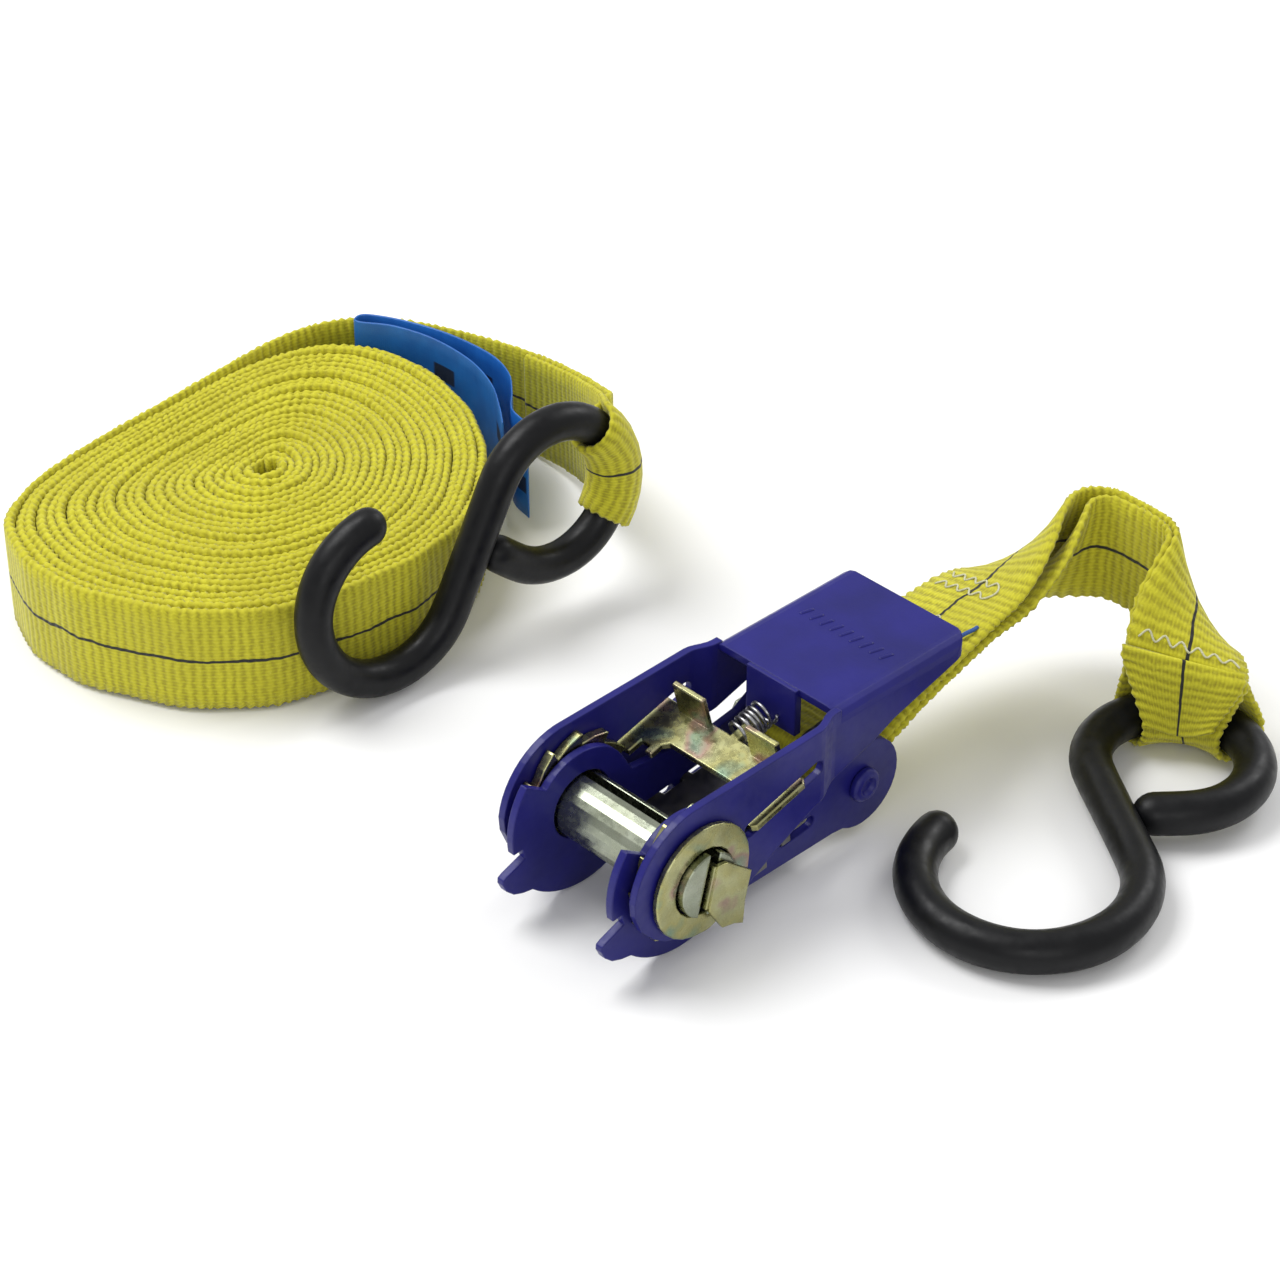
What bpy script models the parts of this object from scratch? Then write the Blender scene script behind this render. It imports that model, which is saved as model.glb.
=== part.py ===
"""Ratchet strap set: lever ratchet with a short hooked strap, and a long hooked strap rolled up beside it.

Lengths are millimetres, turned into metres where they enter Blender.  Every ratchet piece is modelled
about the spindle axis: X along the spindle, Y towards the grip, Z up.
"""
import math

import bmesh
import bpy
from mathutils import Matrix, Vector

MM = 0.001
GAP = 0.3                       # running clearance between neighbouring pieces

# Driving dimensions
WEBBING_WIDTH = 25.0
WEBBING_THICK = 1.7
PLY_GAP = 0.2                   # between two sewn layers of webbing
AXIS_HEIGHT = 19.6              # spindle axis above the ground
PLATE = 1.8                     # frame sheet
PLATE_INSIDE = 13.1             # half the space between the frame plates
HANDLE_SHEET = 1.7
GRIP_HALF = 17.4                # half the outer width of the grip
ARM_STEP = 1.9                  # the arms stand further out than the grip by this much
WHEEL_INSIDE = 15.2
WHEEL_THICK = 2.1
SPINDLE_RADIUS = 7.1
SPINDLE_HALF_LENGTH = 22.5
SPINDLE_SLOT = 2.6
SLOT_ANGLE = 75.5               # direction of the webbing slot, degrees above +Y
BORE = 7.6                      # spindle holes in frame and handle
TEETH = 12
TOOTH_TIP = 15.0
TOOTH_ROOT = 12.7
TOOTH_PHASE = 20.0
DRIVE_ANGLE = 15.0              # slope of the sliding drive pawl
LOCK_ANGLE = 6.0                # slope of the lock pawl
LOCK_ORIGIN = (20.4, -10.0)     # a point on the lock pawl's centre line
BOLT_AT = (51.0, -6.5)
BOLT_RADIUS = 2.35
SLEEVE_RADIUS = 3.4
WIRE_COATED = 4.5               # outside radius of the ratchet hook's coated wire
WIRE_CORE = 3.4
COATING_INSIDE = 3.9
HOOK_BEND = 22.6
HOOK_EYE = 17.0
HOOK_SHANK = 28.7
HOOK_TIP_ANGLE = 129.0
HOOK_LEAVE_ANGLE = 371.8        # where the bend turns into the shank
EYE_END = 8.2                   # straight end of the wire that closes the eye
RATCHET_HOOK_TURN = 46.0        # each hook's direction in its own plane
STRAP_HOOK_TURN = -41.3
STRAP_HOOK_SCALE = 0.93         # wire of the strap hook against the ratchet hook's
STRAP_HOOK_BEND = HOOK_BEND * 0.84
PATH_STEP = 5.5                 # between points of a hook's wire
EYE_CLEARANCE = 0.55            # between coated wire and webbing
RATCHET_LOOP_ANGLE = 118.0      # middle of each webbing loop round its hook's eye
STRAP_LOOP_ANGLE = 5.0
EYE_LOOP_STEPS = 9
LEG_STEPS = 3                   # of each leg between the sewn end and the eye
DRIVE_SPRING = (30.8, 40.2, 2.8, 0.4)       # start and end along its slope, coil and wire radius
LOCK_SPRING = (12.9, 21.4, 2.2, 0.35)
SPRING_TURNS = 5
ROLL_HEIGHT = WEBBING_WIDTH

# Places on the ground
RATCHET_AT = (54.44, -51.02)
ROLL_AT = (-140.0, 26.0)                # from the ratchet
RATCHET_HOOK_EYE = (49.1, 108.9, 6.6)   # from the ratchet, last number above the ground
STRAP_HOOK_EYE = (-87.0, 61.0, 30.7)
RATCHET_HOOK_TILT = 1.6
STRAP_HOOK_LEAN = 3.4
STRAP_HOOK_YAW = 4.6

SIDE = Matrix(((0, 0, 1, 0), (1, 0, 0, 0), (0, 1, 0, 0), (0, 0, 0, 1)))     # outline (Y, Z), thickness X
FLAT = Matrix.Identity(4)                                                   # outline (X, Y), thickness Z

BLUE_PAINT = ((0.026, 0.027, 0.23), 0.35, 0.0)
BRIGHT_ZINC = ((0.62, 0.63, 0.64), 0.32, 1.0)
YELLOW_ZINC = ((0.62, 0.50, 0.30), 0.30, 1.0)
SPRING_STEEL = ((0.38, 0.38, 0.39), 0.35, 1.0)
DARK_STEEL = ((0.16, 0.16, 0.17), 0.40, 1.0)
BLACK_PVC = ((0.008, 0.009, 0.010), 0.38, 0.0)
YELLOW_WEBBING = ((0.60, 0.55, 0.02), 0.85, 0.0)
LABEL_BLUE = ((0.012, 0.10, 0.42), 0.45, 0.0)


# ---------------------------------------------------------------- scene and helpers

def clear_scene():
    for obj in list(bpy.data.objects):
        bpy.data.objects.remove(obj)


def collection(name):
    made = bpy.data.collections.new(name)
    bpy.context.scene.collection.children.link(made)
    return made


def pivot(name, location, rotation=(0, 0, 0), parent=None):
    """An empty on a joint's axis; location in mm, rotation in degrees."""
    mark = bpy.data.objects.new(name, None)
    mark.empty_display_size = 0.01
    mark.location = [value * MM for value in location]
    mark.rotation_euler = [math.radians(value) for value in rotation]
    mark.parent = parent
    MODEL.objects.link(mark)
    return mark


def finish_part(obj, parent, look):
    colour, roughness, metallic = look
    material = bpy.data.materials.new(obj.name)
    material.use_nodes = True
    shader = material.node_tree.nodes["Principled BSDF"]
    shader.inputs["Base Color"].default_value = (*colour, 1)
    shader.inputs["Roughness"].default_value = roughness
    shader.inputs["Metallic"].default_value = metallic
    obj.data.materials.clear()
    obj.data.materials.append(material)
    obj.parent = parent
    return obj


def frozen(obj, name=None, basis=FLAT):
    """Turn an object and its modifiers into a plain welded mesh."""
    bpy.context.view_layer.update()
    evaluated = obj.evaluated_get(bpy.context.evaluated_depsgraph_get())
    mesh = bpy.data.meshes.new_from_object(evaluated)
    mesh.transform(basis)
    shape = bmesh.new()
    shape.from_mesh(mesh)
    bmesh.ops.remove_doubles(shape, verts=shape.verts, dist=0.002 * MM)
    bmesh.ops.recalc_face_normals(shape, faces=shape.faces)
    shape.to_mesh(mesh)
    shape.free()
    name = name or obj.name
    bpy.data.objects.remove(obj)
    made = bpy.data.objects.new(name, mesh)
    MODEL.objects.link(made)
    return made


def smooth(obj, degrees=35):
    obj.data.shade_smooth()
    obj.data.set_sharp_from_angle(angle=math.radians(degrees))
    return obj


def outline_solid(name, loops, thickness, basis):
    """Extrude closed outlines in mm: the first is the outside and the rest are holes."""
    curve = bpy.data.curves.new(name, 'CURVE')
    curve.dimensions = '2D'
    curve.fill_mode = 'BOTH'
    curve.extrude = thickness / 2 * MM
    for loop in loops:
        spline = curve.splines.new('POLY')
        spline.points.add(len(loop) - 1)
        for point, (u, v) in zip(spline.points, loop):
            point.co = (u * MM, v * MM, 0, 1)
        spline.use_cyclic_u = True
    source = bpy.data.objects.new(name + "_outline", curve)
    MODEL.objects.link(source)
    return frozen(source, name, basis)


def side_solid(name, loops, thickness, middle):
    """An outline in (Y, Z) with its thickness along X about a middle value."""
    return outline_solid(name, loops, thickness, Matrix.Translation((middle * MM, 0, 0)) @ SIDE)


def block(name, low, high):
    """A rectangular block between two corners in mm."""
    shape = bmesh.new()
    bmesh.ops.create_cube(shape, size=1)
    size = [b - a for a, b in zip(low, high)]
    middle = [(a + b) / 2 for a, b in zip(low, high)]
    for vert in shape.verts:
        vert.co = [(m + c * s) * MM for m, c, s in zip(middle, vert.co, size)]
    mesh = bpy.data.meshes.new(name)
    shape.to_mesh(mesh)
    shape.free()
    made = bpy.data.objects.new(name, mesh)
    MODEL.objects.link(made)
    return made


def boolean(target, tool, operation):
    step = target.modifiers.new("shape", 'BOOLEAN')
    step.operation = operation
    step.object = tool
    made = frozen(target)
    bpy.data.objects.remove(tool)
    return made


def soften(obj, width, segments=1):
    """Round the hard edges of a sheet-metal piece."""
    step = obj.modifiers.new("soften", 'BEVEL')
    step.width = width * MM
    step.segments = segments
    step.limit_method = 'ANGLE'
    step.angle_limit = math.radians(50)
    step.use_clamp_overlap = True
    return frozen(obj)


def turned(name, profile, steps=24):
    """Turn a closed profile of (radius, x) points, outer side first, about the X axis."""
    mesh = bpy.data.meshes.new(name)
    edges = [(i, (i + 1) % len(profile)) for i in range(len(profile))]
    mesh.from_pydata([(r * MM, 0, x * MM) for r, x in profile], edges, [])
    source = bpy.data.objects.new(name + "_profile", mesh)
    MODEL.objects.link(source)
    step = source.modifiers.new("turn", 'SCREW')
    step.axis = 'Z'
    step.steps = step.render_steps = steps
    step.use_merge_vertices = True
    step.merge_threshold = 0.002 * MM
    return frozen(source, name, SIDE)


def tube(name, points, radius, sides=8):
    """A wire of round section along a list of points in mm."""
    curve = bpy.data.curves.new(name, 'CURVE')
    curve.dimensions = '3D'
    curve.bevel_depth = radius * MM
    curve.bevel_resolution = sides // 2 - 2
    curve.use_fill_caps = True
    spline = curve.splines.new('POLY')
    spline.points.add(len(points) - 1)
    for point, place in zip(spline.points, points):
        point.co = (*(value * MM for value in place), 1)
    source = bpy.data.objects.new(name + "_path", curve)
    MODEL.objects.link(source)
    return frozen(source, name)


def band(name, rows, closed, thickness):
    """A strip of sheet through rows of points in mm, given thickness by Solidify."""
    shape = bmesh.new()
    grid = [[shape.verts.new(point * MM) for point in row] for row in rows]
    pairs = list(zip(grid, grid[1:] + grid[:1])) if closed else list(zip(grid, grid[1:]))
    for row, following in pairs:
        for i in range(len(row) - 1):
            shape.faces.new((row[i], row[i + 1], following[i + 1], following[i]))
    mesh = bpy.data.meshes.new(name)
    shape.to_mesh(mesh)
    shape.free()
    source = bpy.data.objects.new(name + "_sheet", mesh)
    MODEL.objects.link(source)
    step = source.modifiers.new("thickness", 'SOLIDIFY')
    step.thickness = thickness * MM
    step.offset = 0
    return frozen(source, name)


def arc(centre, radius, start, end, steps):
    """Points on an arc in mm and degrees, both ends included."""
    angles = [math.radians(start + (end - start) * i / steps) for i in range(steps + 1)]
    return [(centre[0] + radius * math.cos(a), centre[1] + radius * math.sin(a)) for a in angles]


def circle(centre, radius, steps=28):
    return arc(centre, radius, 0, 360 - 360 / steps, steps - 1)


def half_moon(radius, flat, facing, steps=12):
    """The part of a disc beyond a chord, facing a direction in degrees."""
    reach = math.degrees(math.acos(flat / radius))
    return arc((0, 0), radius, facing - reach, facing + reach, steps)


def slanted_slot(origin, angle, near, far, low, high):
    """A slot with rounded ends along a slope: near and far along it, low and high across it."""
    radius = (high - low) / 2
    middle = (high + low) / 2
    rounded = arc((far - radius, middle), radius, -90, 90, 6) + arc((near + radius, middle), radius, 90, 270, 6)
    return [on_slope(origin, angle, u, v) for u, v in rounded]


def on_slope(origin, angle, along, across):
    """A point given along and across a slope, as (Y, Z)."""
    c, s = math.cos(math.radians(angle)), math.sin(math.radians(angle))
    return (origin[0] + along * c - across * s, origin[1] + along * s + across * c)


def smooth_path(stations, per_span):
    """Points on a smooth curve through the stations, which are vectors."""
    padded = [stations[0] * 2 - stations[1]] + stations + [stations[-1] * 2 - stations[-2]]
    points = []
    for a, b, c, d in zip(padded, padded[1:], padded[2:], padded[3:]):
        for i in range(per_span):
            t = i / per_span
            points.append(0.5 * (2 * b + (c - a) * t + (2 * a - 5 * b + 4 * c - d) * t * t
                                 + (3 * b - a - 3 * c + d) * t * t * t))
    return points + [stations[-1]]


# ---------------------------------------------------------------- ratchet frame

def frame_outline():
    """Side plate of the frame: claw and round nose in front, cam on top, lug at the rear."""
    nose = arc((0, 0), 19.6, 226, 306, 15)
    lower = [(17.8, -15.2), (42.9, -15.2)]
    lug = arc((51.5, -7.0), 10.2, 237, 468, 20)
    upper = [(44.0, 0.2), (38.0, -0.7), (26.0, 0.4), (13.7, 1.6)]
    low_cam = arc((0, 0), 12.6, 32, 139, 14)
    land = arc((0, 0), 18.6, 141.5, 189.3, 10)
    notch = arc((0, 0), 16.3, 190, 199.2, 2)
    claw = [(-20.3, -7.2), (-21.3, -7.8), (-21.4, -8.9), (-20.5, -10.9), (-18.6, -12.7), (-16.3, -13.6)]
    return nose + lower + lug + upper + low_cam + land + notch + claw


def frame_body(parent):
    holes = [circle((0, 0), BORE), circle(BOLT_AT, BOLT_RADIUS + GAP, 16),
             slanted_slot(LOCK_ORIGIN, LOCK_ANGLE, -12.0, 5.2, -1.4, 1.4),
             slanted_slot(LOCK_ORIGIN, LOCK_ANGLE, 6.8, 17.0, -1.4, 1.4)]
    loops = [frame_outline()] + holes
    middle = PLATE_INSIDE + PLATE / 2
    right = soften(side_solid("frame_body", loops, PLATE, middle), 0.3)
    left = soften(side_solid("left_plate", loops, PLATE, -middle), 0.3)
    floor = block("floor", (-middle, 15.6, -14.9), (middle, 31.0, -13.3))
    tongue = block("tongue", (-5.0, 30.0, -14.9), (5.0, 43.6, -13.3))
    seat = block("seat", (-5.0, 42.0, -14.4), (5.0, 43.6, -5.2))
    frame = boolean(right, floor, 'UNION')
    frame = boolean(frame, left, 'UNION')
    frame = boolean(frame, tongue, 'UNION')
    frame = boolean(frame, seat, 'UNION')
    frame.name = "frame_body"
    return finish_part(smooth(frame), parent, BLUE_PAINT)


def frame_fasteners(parent):
    y, z = BOLT_AT
    outside = PLATE_INSIDE + PLATE + GAP
    at_bolt = Matrix.Translation((0, y * MM, z * MM))
    profile = [(3.7, outside), (3.7, outside + 1.1), (3.1, outside + 1.7), (2.1, outside + 1.8),
               (1.4, outside + 0.9), (0.0, outside + 0.8), (0.0, -outside - 4.8), (BOLT_RADIUS, -outside - 4.8),
               (BOLT_RADIUS, outside)]
    bolt = turned("frame_bolt", profile)
    nut = side_solid("bolt_nut", [circle((0, 0), 4.6, 6), circle((0, 0), BOLT_RADIUS + GAP, 16)],
                     3.6, -outside - 1.8)
    sleeve = side_solid("bolt_sleeve", [circle((0, 0), SLEEVE_RADIUS, 20), circle((0, 0), BOLT_RADIUS + GAP, 16)],
                        2 * PLATE_INSIDE - 2 * GAP, 0)
    for piece, look in ((bolt, BLUE_PAINT), (nut, BRIGHT_ZINC), (sleeve, BRIGHT_ZINC)):
        piece.data.transform(at_bolt)
        finish_part(smooth(piece), parent, look)


# ---------------------------------------------------------------- spindle

def spindle(parent):
    """Two half-round bars with the webbing slot between them, turning wheels, washers and clips with them."""
    facing = SLOT_ANGLE - 90
    flat = SPINDLE_SLOT / 2
    for name, turn in (("spindle_half_rear", facing), ("spindle_half_front", facing + 180)):
        bar = side_solid(name, [half_moon(SPINDLE_RADIUS, flat, turn)], 2 * SPINDLE_HALF_LENGTH, 0)
        finish_part(smooth(soften(bar, 0.35)), parent, BRIGHT_ZINC)
    for name, side in (("left", -1), ("right", 1)):
        ratchet_wheel("ratchet_wheel_" + name, side, parent)
        washer = side_solid("spindle_washer_" + name, [circle((0, 0), 12.6), circle((0, 0), 7.5, 20)],
                            1.4, side * 20.3)
        finish_part(smooth(soften(washer, 0.25)), parent, YELLOW_ZINC)
        retaining_clip("retaining_clip_" + name, side, parent)


def ratchet_wheel(name, side, parent):
    """Saw-toothed wheel whose two half-moon windows fit over the spindle halves."""
    outline = []
    for tooth in range(TEETH):
        start = TOOTH_PHASE + tooth * 360 / TEETH
        for radius, angle in ((TOOTH_ROOT, 0), (TOOTH_TIP, 0.6), (TOOTH_TIP - 0.1, 3), (TOOTH_ROOT + 1.1, 16)):
            outline += arc((0, 0), radius, start + angle, start + angle, 1)[:1]
    facing = SLOT_ANGLE - 90
    windows = [half_moon(SPINDLE_RADIUS + GAP, SPINDLE_SLOT / 2 - GAP, turn) for turn in (facing, facing + 180)]
    wheel = side_solid(name, [outline] + windows, WHEEL_THICK, side * (WHEEL_INSIDE + WHEEL_THICK / 2))
    return finish_part(smooth(soften(wheel, 0.2)), parent, YELLOW_ZINC)


def retaining_clip(name, side, parent):
    """Bent sheet: a leg in the webbing slot and a wing folded over the end of the rear half."""
    wing = [(1.2, 4.7), (3.8, 4.2), (6.9, 1.6), (10.3, -1.2), (8.7, -7.6), (8.2, -13.2), (5.8, -12.0),
            (2.5, -11.2), (-1.2, -5.2)]
    plate = side_solid(name, [wing], 0.9, side * (SPINDLE_HALF_LENGTH + GAP + 0.45))
    leg_loop = [on_slope((0, 0), SLOT_ANGLE, u, v) for u, v in ((-4.8, -0.7), (4.6, -0.7), (4.6, 0.7), (-4.8, 0.7))]
    inner = WHEEL_INSIDE + WHEEL_THICK + 0.4
    outer = SPINDLE_HALF_LENGTH + GAP + 0.6
    leg = side_solid("leg", [leg_loop], outer - inner, side * (outer + inner) / 2)
    clip = boolean(plate, leg, 'UNION')
    return finish_part(clip, parent, YELLOW_ZINC)


# ---------------------------------------------------------------- handle

def handle_outline():
    """Side view of the lever: round nose about the spindle, rising arm, deep grip."""
    nose = arc((0, 0), 16.9, 88, 172, 12)
    lower = [(-16.5, -1.0), (-14.8, -5.2), (-12.0, -8.4), (-8.7, -10.8), (-4.4, -12.5), (0.0, -13.1),
             (4.4, -13.0), (8.4, -12.2), (14.0, -9.5), (22.0, -5.0), (32.0, -0.5), (41.0, 2.1), (50.6, 4.9),
             (57.3, 7.9), (79.0, 13.8)]
    return nose + lower + [(79.0, 17.8), (39.0, 17.8), (20.0, 17.3)]


def arm(name, side):
    """One arm of the lever, joggled outwards in front of the grip."""
    slot = slanted_slot((0, 0), DRIVE_ANGLE, 13.0, 35.9, -1.7, 1.9)
    inner = GRIP_HALF - HANDLE_SHEET
    plate = side_solid(name, [handle_outline(), circle((0, 0), BORE), slot], HANDLE_SHEET,
                       side * (inner + HANDLE_SHEET / 2))
    shape = bmesh.new()
    shape.from_mesh(plate.data)
    cuts = [34.0 + i * 1.2 for i in range(6)]
    for y in cuts:
        everything = shape.verts[:] + shape.edges[:] + shape.faces[:]
        bmesh.ops.bisect_plane(shape, geom=everything, plane_co=(0, y * MM, 0), plane_no=(0, 1, 0), dist=1e-7)
    for vert in shape.verts:
        t = min(max((cuts[-1] - vert.co.y / MM) / (cuts[-1] - cuts[0]), 0), 1)
        vert.co.x += side * ARM_STEP * MM * t * t * (3 - 2 * t)
    shape.to_mesh(plate.data)
    shape.free()
    return plate


def grip_shell():
    """Channel of the grip: rounded long edges and rear corners, open in front, behind and below."""
    shell = block("grip", (-GRIP_HALF, 40.4, -6.0), (GRIP_HALF, 79.0, 17.8))
    shape = bmesh.new()
    shape.from_mesh(shell.data)
    top, rear = [], []
    for edge in shape.edges:
        a, b = (vert.co / MM for vert in edge.verts)
        if abs(a.x) > 17 and abs(a.x - b.x) < 1 and min(a.z, b.z) > 17:
            top.append(edge)
        if abs(a.x) > 17 and abs(a.x - b.x) < 1 and min(a.y, b.y) > 78:
            rear.append(edge)
    bmesh.ops.bevel(shape, geom=top + rear, offset=3.2 * MM, segments=4, affect='EDGES', profile=0.5)
    shape.to_mesh(shell.data)
    shape.free()
    inner = GRIP_HALF - HANDLE_SHEET
    space = block("space", (-inner, 30.0, -9.0), (inner, 90.0, 17.8 - HANDLE_SHEET))
    shell = boolean(shell, space, 'DIFFERENCE')
    keep = side_solid("keep", [handle_outline()], 60, 0)
    return boolean(shell, keep, 'INTERSECT')


def handle(parent):
    lever = grip_shell()
    front = block("front", (-GRIP_HALF - ARM_STEP - 2, -20.0, -20.0), (GRIP_HALF + ARM_STEP + 2, 41.5, 25.0))
    arms = [arm("arm_left", -1), arm("arm_right", 1)]
    fronts = []
    for piece in arms:
        half = front.copy()
        half.data = front.data.copy()
        MODEL.objects.link(half)
        fronts.append(boolean(piece, half, 'INTERSECT'))
    bpy.data.objects.remove(front)
    for piece in fronts:
        lever = boolean(lever, piece, 'UNION')
    tab = block("tab", (-6.8, 39.4, 6.8), (6.8, 41.1, 17.7))
    lever = boolean(lever, tab, 'UNION')
    lever.name = "handle"
    return finish_part(smooth(lever), parent, BLUE_PAINT)


# ---------------------------------------------------------------- pawls and springs

def drive_pawl(parent):
    """Sliding plate with two noses for the wheels, reliefs over the cam plates and two finger tabs."""
    half = [(0.0, 21.5), (9.6, 21.5), (10.8, 20.3), (10.8, 17.2), (12.6, 17.2), (12.6, 18.95), (15.1, 18.95),
            (15.1, 15.3), (19.0, 15.3), (19.9, 16.2), (19.9, 29.6), (19.0, 30.5), (1.2, 30.5), (1.2, 35.2),
            (0.0, 35.2)]
    outline = half + [(-x, u) for x, u in reversed(half[1:-1])]
    pawl = outline_solid("drive_pawl", [outline], 1.6, Matrix.Translation((0, 0, -0.4 * MM)))
    pawl = soften(pawl, 0.25)
    for side in (-1, 1):
        low, high = sorted((side * 5.8, side * 14.5))
        tab = soften(block("tab", (low, 28.9, -0.6), (high, 30.3, 8.4)), 0.3)
        pawl = boolean(pawl, tab, 'UNION')
    pawl.name = "drive_pawl"
    return finish_part(smooth(pawl), parent, YELLOW_ZINC)


def lock_pawl(parent):
    """Sliding plate in the frame's slots: noses in front, guide ears behind."""
    half = [(0.0, -3.2), (10.0, -3.2), (10.0, -11.2), (17.2, -11.2), (17.2, 1.2), (12.6, 1.8), (12.6, 7.4),
            (15.3, 7.4), (15.3, 9.9), (12.6, 9.9), (12.6, 12.6), (0.0, 12.6)]
    outline = half + [(-x, u) for x, u in reversed(half[1:-1])]
    pawl = outline_solid("lock_pawl", [outline], 1.8, FLAT)
    return finish_part(smooth(soften(pawl, 0.25)), parent, DARK_STEEL)


def coil_spring(name, start, end, radius, wire, turns, parent):
    """Helix along +Y of its parent's slope."""
    steps = turns * 10
    points = []
    for i in range(steps + 1):
        turn = 2 * math.pi * i / 10
        points.append((radius * math.cos(turn), start + wire + (end - start - 2 * wire) * i / steps,
                       radius * math.sin(turn)))
    return finish_part(smooth(tube(name, points, wire, 6)), parent, SPRING_STEEL)


# ---------------------------------------------------------------- hooks

def hook_path(bend, eye, step):
    """Centre line of an S hook about the eye centre: tip, bend, straight shank, closed eye."""
    start, leave = HOOK_TIP_ANGLE, HOOK_LEAVE_ANGLE
    points = arc((0, 0), bend, start, leave, round(bend * math.radians(leave - start) / step))
    heading = math.radians(leave + 90)
    x, y = points[-1]
    end = (x + HOOK_SHANK * math.cos(heading), y + HOOK_SHANK * math.sin(heading))
    points += [(x + (end[0] - x) * share, y + (end[1] - y) * share) for share in (0.25, 0.5, 0.75)]
    entry = math.radians(leave - 180)
    eye_centre = (end[0] - eye * math.cos(entry), end[1] - eye * math.sin(entry))
    points += arc(eye_centre, eye, leave - 180, -90, round(eye * math.radians(leave - 90) / step))
    points.append((points[-1][0] - EYE_END, points[-1][1]))
    return [(x - eye_centre[0], y - eye_centre[1], 0.0) for x, y in points]


def coated_hook(name, bend, eye, coated, parent, turn):
    """Steel wire hook inside a dipped coating, which is open at the end of the eye."""
    factor = coated / WIRE_COATED
    path = hook_path(bend, eye, PATH_STEP)
    spin = Matrix.Rotation(math.radians(turn), 4, 'Z')
    path = [tuple(spin @ Vector(point)) for point in path]
    core = tube(name + "_core", path[1:], WIRE_CORE * factor, 8)
    finish_part(smooth(core), parent, BRIGHT_ZINC)
    last = Vector(path[-1]) - Vector(path[-2])
    beyond = path[1:] + [tuple(Vector(path[-1]) + last.normalized() * 3)]
    coating = tube(name + "_coating", path, coated, 10)
    hollow = tube("hollow", beyond, COATING_INSIDE * factor, 8)
    coating = boolean(coating, hollow, 'DIFFERENCE')
    coating.name = name + "_coating"
    finish_part(smooth(coating, 50), parent, BLACK_PVC)


# ---------------------------------------------------------------- webbing

COLUMNS = 7                     # points across the webbing


def columns(count):
    return [WEBBING_WIDTH * (i / (count - 1) - 0.5) for i in range(count)]


def straight_row(centre, across):
    return [centre + across * w for w in columns(COLUMNS)]


def ply_rows(stations, per_span, side, slack=None):
    """Rows along a route; each station is (centre, direction across).

    side is how far the layer stands off the route, and slack how much more at each station.
    """
    centres = smooth_path([Vector(centre) for centre, _ in stations], per_span)
    acrosses = smooth_path([Vector(across).normalized() for _, across in stations], per_span)
    extra = smooth_path([Vector((value, 0, 0)) for value in slack or [0] * len(stations)], per_span)
    rows = []
    for i, (centre, across) in enumerate(zip(centres, acrosses)):
        before, after = centres[max(i - 1, 0)], centres[min(i + 1, len(centres) - 1)]
        normal = (after - before).cross(across).normalized()
        offset = side + math.copysign(max(extra[i].x, 0), side)
        rows.append(straight_row(centre + normal * offset, across.normalized()))
    return rows


def rows_between(first, last, count):
    """Rows on straight lines between two rows, without the two."""
    made = []
    for i in range(1, count):
        made.append([a.lerp(b, i / count) for a, b in zip(first, last)])
    return made


def eye_loop_rows(to_world, mid_angle, radius, first, last):
    """Rows round the curved wire of a hook's eye, meeting the two plies of the strap along tangents.

    first and last are the strap's end rows; radius is that of the webbing's middle round the wire.
    The loop passes the outer side of the eye first where the first ply is the outer one.
    """
    to_local = to_world.inverted()
    middle = len(first) // 2
    outer_first = (to_local @ (first[middle] * MM)).xy.length > (to_local @ (last[middle] * MM)).xy.length
    way = -1 if outer_first else 1
    wraps = []
    for w, start_point, end_point in zip(columns(COLUMNS), first, last):
        along = math.radians(mid_angle) + w / HOOK_EYE
        outward = Vector((math.cos(along), math.sin(along), 0))
        angles = []
        for point, side in ((start_point, way), (end_point, -way)):
            local = (to_local @ (point * MM)) / MM - outward * HOOK_EYE
            reach, height = local.dot(outward), local.z
            free = math.acos(radius / math.hypot(reach, height))
            angles.append(math.atan2(height, reach) + side * free)
        wraps.append((outward, angles[0], angles[1] + way * 2 * math.pi))
    rows = []
    for i in range(EYE_LOOP_STEPS + 1):
        row = []
        for outward, start, end in wraps:
            about = start + (end - start) * i / EYE_LOOP_STEPS
            local = outward * (HOOK_EYE + radius * math.cos(about)) + Vector((0, 0, radius * math.sin(about)))
            row.append((to_world @ (local * MM)) / MM)
        rows.append(row)
    return rows


SHORT_ROUTE = [                 # from the ratchet's ground point: centre, direction across, slack of the outer layer
    ((0.0, 59.6, 17.0), (1, 0, 0), 0.0),
    ((0.0, 73.0, 22.0), (1, 0, 0.05), 0.0),
    ((0.2, 91.5, 25.8), (0.98, 0, 0.2), 0.4),
    ((1.5, 103.0, 27.3), (0.95, -0.1, 0.3), 1.6),
    ((3.2, 113.0, 28.8), (0.76, 0, 0.65), 3.2),
    ((4.8, 121.2, 30.4), (0.42, 0, 0.91), 3.6),
    ((6.5, 127.4, 31.2), (0.1, 0, 1), 2.2),
    ((10.3, 131.6, 31.3), (0, 0, 1), 0.8),
    ((16.8, 132.5, 31.2), (0, 0, 1), 0.2),
    ((24.0, 132.3, 31.0), (-0.05, 0, 1), 0.0),
    ((30.6, 131.9, 30.4), (-0.25, -0.1, 0.96), 0.0),
    ((35.2, 128.9, 29.0), (-0.5, -0.3, 0.8), 0.0),
    ((38.3, 124.8, 26.6), (-0.68, -0.5, 0.5), 0.0),
    ((41.0, 121.3, 23.3), (-0.80, -0.52, 0.25), 0.0),
    ((42.3, 120.3, 20.5), (-0.86, -0.49, 0.13), 0.0),
]


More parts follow.
